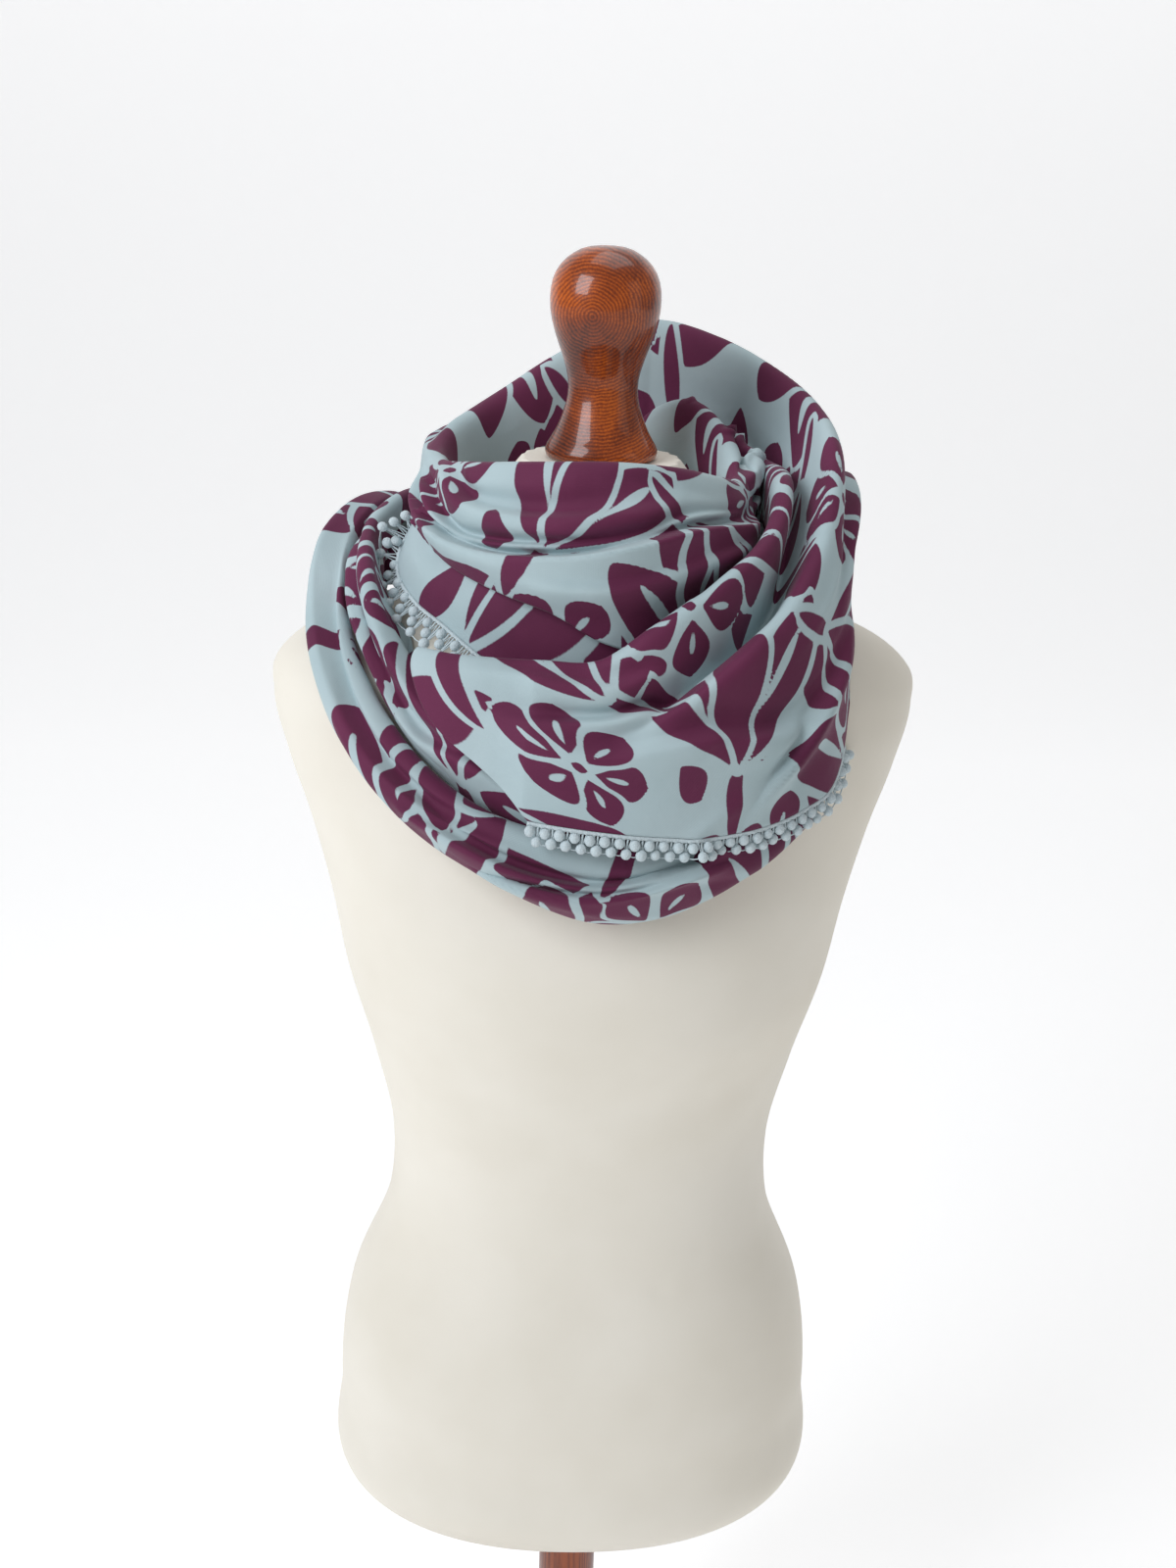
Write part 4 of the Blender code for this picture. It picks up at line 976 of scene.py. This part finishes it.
def tubes(starts, ends, sag, radius, sides=5, steps=5):
    """Thin threads from each start to each end that sag by the given vectors: rings round a bowed line."""
    t = np.linspace(0, 1, steps)[None, :, None]
    line = starts[:, None] * (1 - t) + ends[:, None] * t + 4 * t * (1 - t) * sag[:, None]
    ahead = unit(np.gradient(line, axis=1))
    aside = unit(np.cross(ahead, np.array((0.13, 0.21, 0.97))))
    other = np.cross(ahead, aside)
    turn = 2 * math.pi * np.arange(sides) / sides
    ring = np.cos(turn)[:, None] * aside[..., None, :] + np.sin(turn)[:, None] * other[..., None, :]
    return line[..., None, :] + radius * ring


def joined(parts):
    """Points and faces of several parts as one pair of arrays."""
    points, quads, first = [], [], 0
    for part_points, part_quads in parts:
        points.append(part_points.reshape(-1, 3))
        quads.append(part_quads + first)
        first += len(points[-1])
    return np.concatenate(points), np.concatenate(quads)


def tube_quads(number, steps, sides):
    """The faces of many like tubes, which are open at their ends."""
    ring = np.arange(sides)
    step = np.arange(steps - 1)[:, None]
    here = step * sides + ring
    beside = step * sides + (ring + 1) % sides
    one = np.stack((here, beside, beside + sides, here + sides), axis=-1).reshape(-1, 4)
    return (one[None] + (steps * sides * np.arange(number))[:, None, None]).reshape(-1, 4)


def bobble_centres(edge, along, down, rolls, row):
    """Where the bobbles hang: in staggered rows below the edge, clear of the body and of other cloth.

    The pushes off the other cloth are smoothed along the trim, so that the rows stay even.
    """
    wobble = np.sin(7.3 * np.arange(len(row)))[:, None] * WOBBLE
    drop = BRAID_HEIGHT + (FIRST_ROW_DROP + ROW_STEP * row)[:, None] + BOBBLE_RADIUS
    middle = 0.5 * (edge[:-1] + edge[1:])
    centre = middle + (drop + wobble) * down[:-1] + 0.6 * wobble * along[:-1]
    centre = lift_off_body(centre, BOBBLE_RADIUS + 0.6 * MM)
    push = keep_clear(centre[None], rolls, BOBBLE_RADIUS + 0.7 * MM)[0] - centre
    weights = np.array((1, 2, 3, 2, 1)) / 9
    padded = np.pad(push, ((2, 2), (0, 0)), mode="edge")
    return centre + np.stack([np.convolve(padded[:, k], weights, "valid") for k in range(3)], axis=1)


def bobbles(centre, frames):
    """The points and faces of a ball at each centre. Fans of quads close each ball at its two poles."""
    number = len(centre)
    size = BOBBLE_RADIUS * (1 + 0.05 * np.sin(5.1 * np.arange(number)))[:, None] * BOBBLE_SHAPE
    skin = ball(BALL_SIDES, BALL_LEVELS)
    poles = np.array(((0, 0, 1.0), (0, 0, -1.0)))
    shapes = [copies(shape.reshape(-1, 3), centre, frames, size).reshape(-1, 3) for shape in (skin, poles)]
    sides, levels = skin.shape[:2]
    side = np.arange(sides)[:, None]
    level = np.arange(levels - 1)[None, :]
    here = side * levels + level
    beside = (side + 1) % sides * levels + level
    one = np.stack((here, here + 1, beside + 1, beside), axis=-1).reshape(-1, 4)
    first = (sides * levels * np.arange(number))[:, None]
    quads = [(one[None] + first[..., None]).reshape(-1, 4)]
    even_side = np.arange(0, sides, 2)
    for pole, at in ((0, 0), (1, levels - 1)):
        cap = number * sides * levels + 2 * np.arange(number)[:, None] + pole
        a, b, c = ((even_side + k) % sides * levels + at for k in (0, 1, 2))
        corners = (cap + 0 * a, first + a, first + b, first + c)
        quads.append(np.stack(corners if pole == 0 else corners[::-1], axis=-1).reshape(-1, 4))
    return np.concatenate(shapes), np.concatenate(quads)


def braid(top, low, down, outward):
    """The points and faces of a flat band from top to low, whose lower side is scalloped."""
    fine = np.linspace(0, len(top) - 1, 4 * len(top))
    known = np.arange(len(top))
    fine_top, fine_low, fine_down, fine_out = (
        np.stack([np.interp(fine, known, values[:, k]) for k in range(3)], axis=1)
        for values in (top, low, down, outward)
    )
    scallop = (0.25 * MM * np.cos(2 * math.pi * fine))[:, None]
    corners = (
        fine_top - 0.5 * MM * fine_out,
        fine_top + 0.5 * MM * fine_out,
        fine_low + 0.7 * MM * fine_out + scallop * fine_down,
        fine_low - 0.7 * MM * fine_out + scallop * fine_down,
    )
    band = np.stack(corners, axis=1)
    ends = np.array(((3, 2, 1, 0), (0, 1, 2, 3))) + np.array(((0,), (4 * (len(band) - 1),)))
    return band, np.concatenate((tube_quads(1, len(band), 4), ends))


def trim_piece(name, edge_points, behind_points, rolls, finish, solid, rows=2):
    """Staggered rows of crocheted bobbles that hang by threads from a narrow braid along the cloth's edge."""
    edge = even_path(edge_points, BOBBLE_PITCH / 2)
    share = np.linspace(0, 1, len(edge))
    known = np.linspace(0, 1, len(behind_points))
    behind = np.stack([np.interp(share, known, behind_points[:, k]) for k in range(3)], axis=1)
    along = unit(np.gradient(edge, axis=0))
    down = edge - behind
    down = unit(down - (down * along).sum(axis=1, keepdims=True) * along)
    outward = np.cross(along, down)
    row = np.arange(len(edge) - 1) % rows
    centre = bobble_centres(edge, along, down, rolls, row)
    frames = np.stack((along[:-1], outward[:-1], down[:-1]), axis=1)
    parts = [bobbles(centre, frames)]
    top = edge + BRAID_DROP * down
    low = edge + (BRAID_DROP + BRAID_HEIGHT) * down
    lowest = row == rows - 1
    hanging, swag = centre[lowest], 1.4 * MM * down[:-1][lowest][:-1]
    out = outward[:-1]
    threads = (
        (0.5 * (low[:-1] + low[1:]), centre, 0.3 * MM * out, 0.55 * MM),
        (hanging[:-1], hanging[1:], swag, 0.35 * MM),
        (low[:-1], centre, 0.4 * MM * out, 0.32 * MM),
        (low[1:], centre, 0.4 * MM * out, 0.32 * MM),
    )
    for thread in threads:
        tube = tubes(*thread)
        parts.append((tube, tube_quads(*tube.shape[:3])))
    parts.append(braid(top, low, down, outward))
    piece = mesh_piece(name, *joined(parts), finish)
    finished(piece, [solid])
    return piece


def linear(code):
    """An sRGB hex colour as linear values: the standard curve, with its straight foot below 0.04045."""
    values = np.array([int(code[i : i + 2], 16) for i in (1, 3, 5)]) / 255
    curved = np.where(values <= 0.04045, values / 12.92, ((values + 0.055) / 1.055) ** 2.4)
    return (*(float(v) for v in curved), 1.0)


def node(tree, kind, settings=None, links=None):
    """One node with its settings, by attribute or by socket, and its links, as socket: (node, output).

    The setting "stops" holds a colour ramp's pairs of position and hex colour.
    """
    made = tree.nodes.new(kind)
    for key, value in (settings or {}).items():
        if key == "stops":
            elements = made.color_ramp.elements
            for extra in value[2:]:
                elements.new(extra[0])
            for element, (position, code) in zip(elements, value):
                element.position = position
                element.color = linear(code)
        elif isinstance(key, str) and hasattr(made, key):
            setattr(made, key, value)
        else:
            made.inputs[key].default_value = value
    for socket, (source, output) in (links or {}).items():
        tree.links.new(source.outputs[output], made.inputs[socket])
    return made


def new_material(name, sockets):
    """A material with its Principled shader, whose sockets are set."""
    made = bpy.data.materials.new(name)
    made.use_nodes = True
    shader = made.node_tree.nodes["Principled BSDF"]
    for socket, value in sockets.items():
        shader.inputs[socket].default_value = value
    return made, made.node_tree, shader


def printed_cotton():
    """Cotton poplin, woven fine and flat, printed with a plum dye on a pale sage ground.

    It is matt with a slight nap that catches light at a grazing angle. Its threads lie 0.3 mm apart, too
    fine to show, so the weave is drawn at 0.9 mm and very low. The dye is a little uneven.
    """
    made, tree, shader = new_material(
        "printed cotton poplin",
        {
            "Roughness": 0.72,
            "Specular IOR Level": 0.25,
            "Sheen Weight": 0.12,
            "Sheen Roughness": 0.4,
        },
    )
    chart = node(tree, "ShaderNodeUVMap", {"uv_map": "cloth"})
    spot = node(tree, "ShaderNodeTexCoord")
    depth = node(tree, "ShaderNodeAttribute", {"attribute_name": "print_depth"})
    ragged = node(tree, "ShaderNodeTexNoise", {"Scale": 900.0, "Detail": 2.0}, {"Vector": (chart, "UV")})
    wander = node(
        tree, "ShaderNodeMath", {"operation": "MULTIPLY_ADD", 1: 0.5, 2: -0.25}, {0: (ragged, "Fac")}
    )
    edge = node(tree, "ShaderNodeMath", {"operation": "ADD"}, {0: (depth, "Fac"), 1: (wander, "Value")})
    mask = node(
        tree,
        "ShaderNodeMapRange",
        {"interpolation_type": "SMOOTHSTEP", "From Min": -0.35, "From Max": 0.35},
        {"Value": (edge, "Value")},
    )
    cloudy = node(tree, "ShaderNodeTexNoise", {"Scale": 14.0, "Detail": 4.0}, {"Vector": (spot, "Object")})
    plum, sage = (
        node(tree, "ShaderNodeValToRGB", {"stops": stops}, {"Fac": (cloudy, "Fac")})
        for stops in (((0.3, "#5B2140"), (0.7, "#6B2A4C")), ((0.3, "#AABEC2"), (0.7, "#B6C8CC")))
    )
    dyed = node(
        tree,
        "ShaderNodeMix",
        {"data_type": "RGBA"},
        {"Factor": (mask, "Result"), 6: (sage, "Color"), 7: (plum, "Color")},
    )
    tree.links.new(dyed.outputs[2], shader.inputs["Base Color"])
    warp, weft = (
        node(
            tree,
            "ShaderNodeTexWave",
            {"bands_direction": axis, "Scale": 350.0, "Distortion": 0.4, "Detail": 1.0},
            {"Vector": (chart, "UV")},
        )
        for axis in "XY"
    )
    weave = node(tree, "ShaderNodeMath", {"operation": "MULTIPLY"}, {0: (warp, "Fac"), 1: (weft, "Fac")})
    rumple = node(tree, "ShaderNodeTexNoise", {"Scale": 55.0, "Detail": 3.0}, {"Vector": (spot, "Object")})
    relief = node(
        tree,
        "ShaderNodeMath",
        {"operation": "MULTIPLY_ADD", 1: 0.10},
        {0: (weave, "Value"), 2: (rumple, "Fac")},
    )
    bump = node(tree, "ShaderNodeBump", {"Strength": 0.45, "Distance": 0.0014}, {"Height": (relief, "Value")})
    tree.links.new(bump.outputs["Normal"], shader.inputs["Normal"])
    return made


def crocheted_cotton():
    """Cotton yarn crocheted into bobbles and a braid: matt, pale blue, with its stitches 1.2 mm apart."""
    made, tree, shader = new_material(
        "crocheted cotton yarn",
        {
            "Roughness": 0.85,
            "Sheen Weight": 0.2,
        },
    )
    spot = node(tree, "ShaderNodeTexCoord")
    stitches = node(
        tree, "ShaderNodeTexVoronoi", {"Scale": 850.0, "Randomness": 0.7}, {"Vector": (spot, "Object")}
    )
    # The pale blue yarn is painted paler at each stitch's middle and darker towards the gaps between
    # stitches, where the bump sinks: painted shade in the stitch gaps.
    yarn_blue_and_gap_shade = ((0.0, "#D3DFE2"), (0.7, "#BFCED3"))
    colour = node(tree, "ShaderNodeValToRGB", {"stops": yarn_blue_and_gap_shade}, {"Fac": (stitches, "Distance")})
    tree.links.new(colour.outputs["Color"], shader.inputs["Base Color"])
    bump = node(
        tree,
        "ShaderNodeBump",
        {"Strength": 0.5, "Distance": 0.0006, "invert": True},
        {"Height": (stitches, "Distance")},
    )
    tree.links.new(bump.outputs["Normal"], shader.inputs["Normal"])
    return made


def jersey():
    """Cotton jersey, knitted fine and stretched over padding: matt cream, with stitches 1.1 by 0.7 mm."""
    made, tree, shader = new_material(
        "stretched cotton jersey",
        {
            "Roughness": 0.8,
            "Specular IOR Level": 0.3,
            "Sheen Weight": 0.1,
        },
    )
    spot = node(tree, "ShaderNodeTexCoord")
    cloudy = node(tree, "ShaderNodeTexNoise", {"Scale": 9.0, "Detail": 3.0}, {"Vector": (spot, "Object")})
    colour = node(
        tree, "ShaderNodeValToRGB", {"stops": ((0.3, "#E9E3D5"), (0.7, "#F1ECE0"))}, {"Fac": (cloudy, "Fac")}
    )
    tree.links.new(colour.outputs["Color"], shader.inputs["Base Color"])
    wide = node(tree, "ShaderNodeMapping", {"Scale": (1.0, 1.0, 1.6)}, {"Vector": (spot, "Object")})
    knit = node(tree, "ShaderNodeTexVoronoi", {"Scale": 900.0}, {"Vector": (wide, "Vector")})
    lumps = node(tree, "ShaderNodeTexNoise", {"Scale": 24.0, "Detail": 4.0}, {"Vector": (spot, "Object")})
    relief = node(
        tree,
        "ShaderNodeMath",
        {"operation": "MULTIPLY_ADD", 1: 0.12},
        {0: (knit, "Distance"), 2: (lumps, "Fac")},
    )
    bump = node(tree, "ShaderNodeBump", {"Strength": 0.3, "Distance": 0.001}, {"Height": (relief, "Value")})
    tree.links.new(bump.outputs["Normal"], shader.inputs["Normal"])
    return made


def varnished_wood(name, direction, pith, dark, middle, light):
    """Stained hardwood, turned and then varnished: growth rings 1.8 mm apart under a glossy clear coat.

    The rings lie round a pith that runs level or upright, and show as ovals where the turning cuts them.
    """
    made, tree, shader = new_material(
        name,
        {
            "Roughness": 0.32,
            "Specular IOR Level": 0.3,
            "Coat Weight": 0.55,
            "Coat Roughness": 0.06,
            "Coat IOR": 1.5,
        },
    )
    spot = node(tree, "ShaderNodeTexCoord")
    stretched = tuple(1.0 - 0.93 * float(direction == axis) for axis in "XYZ")
    grain = node(
        tree,
        "ShaderNodeMapping",
        {"vector_type": "TEXTURE", "Location": pith, "Scale": tuple(1 / part for part in stretched)},
        {"Vector": (spot, "Object")},
    )
    sway = node(tree, "ShaderNodeTexNoise", {"Scale": 22.0, "Detail": 3.0}, {"Vector": (grain, "Vector")})
    rings = node(
        tree,
        "ShaderNodeTexWave",
        {
            "wave_type": "RINGS",
            "rings_direction": direction,
            "wave_profile": "SIN",
            "Scale": 170.0,
            "Distortion": 5.0,
            "Detail": 2.0,
            "Detail Scale": 0.6,
        },
        {"Vector": (grain, "Vector")},
    )
    fibres_at = node(tree, "ShaderNodeMapping", {"Scale": stretched}, {"Vector": (spot, "Object")})
    fibres = node(
        tree, "ShaderNodeTexNoise", {"Scale": 900.0, "Detail": 3.0}, {"Vector": (fibres_at, "Vector")}
    )
    mixed = node(
        tree, "ShaderNodeMath", {"operation": "MULTIPLY_ADD", 1: 0.16}, {0: (rings, "Fac"), 2: (sway, "Fac")}
    )
    shade = node(
        tree,
        "ShaderNodeMath",
        {"operation": "MULTIPLY_ADD", 1: 0.35},
        {0: (fibres, "Fac"), 2: (mixed, "Value")},
    )
    scaled = node(
        tree, "ShaderNodeMapRange", {"From Min": 0.5, "From Max": 1.0}, {"Value": (shade, "Value")}
    )
    stains = ((0.1, light), (0.5, middle), (0.95, dark))
    colour = node(tree, "ShaderNodeValToRGB", {"stops": stains}, {"Fac": (scaled, "Result")})
    tree.links.new(colour.outputs["Color"], shader.inputs["Base Color"])
    bump = node(tree, "ShaderNodeBump", {"Strength": 0.08, "Distance": 0.0005}, {"Height": (fibres, "Fac")})
    tree.links.new(bump.outputs["Normal"], shader.inputs["Normal"])
    return made


def studio_sweep():
    """Matt white paper under the foot, which sweeps up behind the form in a wide curve to a wall.

    It glows a little, as lit paper does, so that it stays white to the edges of the view.
    """
    paper, _, _ = new_material(
        "matt white paper",
        {
            "Base Color": linear("#F2F2F2"),
            "Roughness": 0.95,
            "Specular IOR Level": 0.1,
            "Emission Color": linear("#FFFFFF"),
            "Emission Strength": 0.42,
        },
    )
    tilt = np.linspace(0, math.pi / 2, 24)
    depth = np.concatenate(([-5.0], 2.4 + 1.8 * np.sin(tilt), [4.2]))
    height = np.concatenate(([0.0], 1.8 - 1.8 * np.cos(tilt), [6.0])) - 0.5 * MM
    side = np.linspace(-7, 7, 3)[:, None]
    points = np.stack(np.broadcast_arrays(side, depth, height), axis=-1)
    quads = grid_quads(*points.shape[:2])[:, ::-1]
    mesh_piece("paper_sweep", points.reshape(-1, 3), quads, paper)


def add_camera():
    """The camera stands a little left of the middle and looks down at the scarf."""
    pitch, yaw, roll = math.radians(22.07), math.radians(1.84), math.radians(1.75)
    ahead = Vector((math.sin(yaw) * math.cos(pitch), math.cos(yaw) * math.cos(pitch), -math.sin(pitch)))
    right = ahead.cross(Vector((0, 0, 1))).normalized()
    above = right.cross(ahead)
    turned_right = right * math.cos(roll) + above * math.sin(roll)
    turned_above = above * math.cos(roll) - right * math.sin(roll)
    pose = Matrix((turned_right, turned_above, -ahead)).transposed().to_4x4()
    pose.translation = Vector((-0.031, -0.912, 1.279))
    lens = bpy.data.cameras.new("photo view")
    camera = bpy.data.objects.new("photo view", lens)
    camera.matrix_world = pose
    lens.sensor_fit = "VERTICAL"
    lens.sensor_height = 36
    lens.sensor_width = 27
    lens.lens = 35.3
    lens.clip_start = 0.01
    bpy.context.scene.collection.objects.link(camera)
    bpy.context.scene.camera = camera


def add_light(name, place_at, aim, size, power, colour):
    """A soft square light that faces its aim."""
    lamp = bpy.data.lights.new(name, "AREA")
    lamp.shape = "RECTANGLE"
    lamp.size, lamp.size_y = size
    lamp.energy = power
    lamp.color = linear(colour)[:3]
    light = bpy.data.objects.new(name, lamp)
    light.location = place_at
    light.rotation_euler = (Vector(aim) - Vector(place_at)).to_track_quat("-Z", "Y").to_euler()
    bpy.context.scene.collection.objects.link(light)


def add_studio():
    """Daylight from the left, a weaker sheet of light from the right, and white all round."""
    studio_sweep()
    add_light("window", (-1.5, -1.1, 2.1), (0, 0, 1.05), (1.1, 1.4), 31, "#F7FAFF")
    add_light("right reflector", (1.7, -0.9, 1.5), (0, 0, 1.0), (1.0, 1.6), 2, "#FFF8F0")
    add_light("ceiling", (0.2, 0.3, 2.9), (0, 0, 1.0), (1.4, 1.4), 10, "#FFFFFF")
    world = bpy.data.worlds.new("white room")
    world.use_nodes = True
    world.node_tree.nodes["Background"].inputs["Color"].default_value = linear("#FBFCFF")
    world.node_tree.nodes["Background"].inputs["Strength"].default_value = 0.3
    bpy.context.scene.world = world
    bpy.context.scene.view_settings.view_transform = "Standard"


def wound_scarf():
    """The middle surfaces of the scarf, each moved clear of the cloth that it lies on.

    It returns the two loops and the long stretch, each with how far its points lie below its crest, the
    long stretch's azimuths, and the trimmed corner.
    """
    lower, lower_down = loop_surface(LOWER_LOOP, LOWER_ACROSS, LOWER_FOLDS, LOWER_CREASES)
    upper, upper_down = loop_surface(UPPER_LOOP, UPPER_ACROSS, UPPER_FOLDS, UPPER_CREASES)
    upper = keep_clear(lift_off_body(upper, CLEARANCE), [lower])
    stretch, stretch_down, azimuth = stretch_surface()
    on_panel = azimuth[:, 0] < PANEL_END
    on_cowl = azimuth[:, 0] >= COLLAR_END
    stretch[~on_panel] = keep_clear(stretch[~on_panel], [lower, upper])
    corner = keep_clear(corner_surface(), [stretch[~on_panel & ~on_cowl], upper])
    stretch[on_cowl] = keep_clear(stretch[on_cowl], [corner])
    panel = lift_off_body(stretch[on_panel], CLEARANCE)
    stretch[on_panel] = keep_clear(panel, [lower, upper, corner, stretch[on_cowl]])
    return lower, lower_down, upper, upper_down, stretch, stretch_down, azimuth, corner


def dress():
    """The form, the printed cloth wound round its neck and the trim along the cloth's edges."""
    cotton = printed_cotton()
    yarn = crocheted_cotton()
    pith = (-0.008, 0.0, NECK_HEIGHT + 0.082)
    finial_wood = varnished_wood("varnished stained beech", "Y", pith, "#3E1506", "#8C3A0A", "#CC6214")
    pith = (0.03, 0.09, 0.0)
    stand_wood = varnished_wood("varnished stained beech, plain", "Z", pith, "#35130A", "#6A2C12", "#9A4A1C")

    lower, lower_down, upper, upper_down, stretch, stretch_down, azimuth, corner = wound_scarf()
    along = along_cloth(stretch)
    seam = int(np.searchsorted(azimuth[:, 0], COLLAR_END))
    for name, part in (("panel_and_collar", slice(0, seam + 1)), ("cowl_and_tucked_end", slice(seam, None))):
        cloth_piece(name, stretch[part], along[part], stretch_down[part], cotton)
    cloth_piece("lower_loop_cloth", lower, along_cloth(lower), lower_down, cotton)
    cloth_piece("upper_loop_cloth", upper, along_cloth(upper), upper_down, cotton)
    corner_down = np.linspace(0, CORNER_DEPTH, CORNER_ACROSS)[None, :]
    cloth_piece("corner_cloth", corner, along_cloth(corner), corner_down, cotton)

    body_piece(jersey())
    turned_piece("turned_finial", FINIAL_PROFILE, NECK_HEIGHT + GAP, 128, finial_wood, "finial")
    turned_piece("turned_pole", POLE_PROFILE, FOOT_HEIGHT + GAP, 64, stand_wood, "pole")
    turned_piece("turned_foot", FOOT_PROFILE, 0.0, 128, stand_wood, "foot")

    edge_azimuth = azimuth[:, -1]
    for name, (first, last), rolls, solid in (
        ("front_bobbles", FRONT_TRIM, [lower], "front_trim"),
        ("side_bobbles", SIDE_TRIM, [lower, upper], "side_trim"),
    ):
        sewn = (edge_azimuth >= first) & (edge_azimuth <= last)
        trim_piece(name, stretch[sewn, -1], stretch[sewn, BEHIND_EDGE], rolls, yarn, solid)
    cowl = stretch[azimuth[:, 0] >= COLLAR_END]
    edge = corner[CORNER_TRIM, -1]
    flared = corner[CORNER_TRIM, BEHIND_CORNER_EDGE] * CORNER_FLARE
    corner_trim = trim_piece("corner_bobbles", edge, flared, [upper, cowl], yarn, "corner_trim", rows=3)


add_camera()
add_studio()
dress()
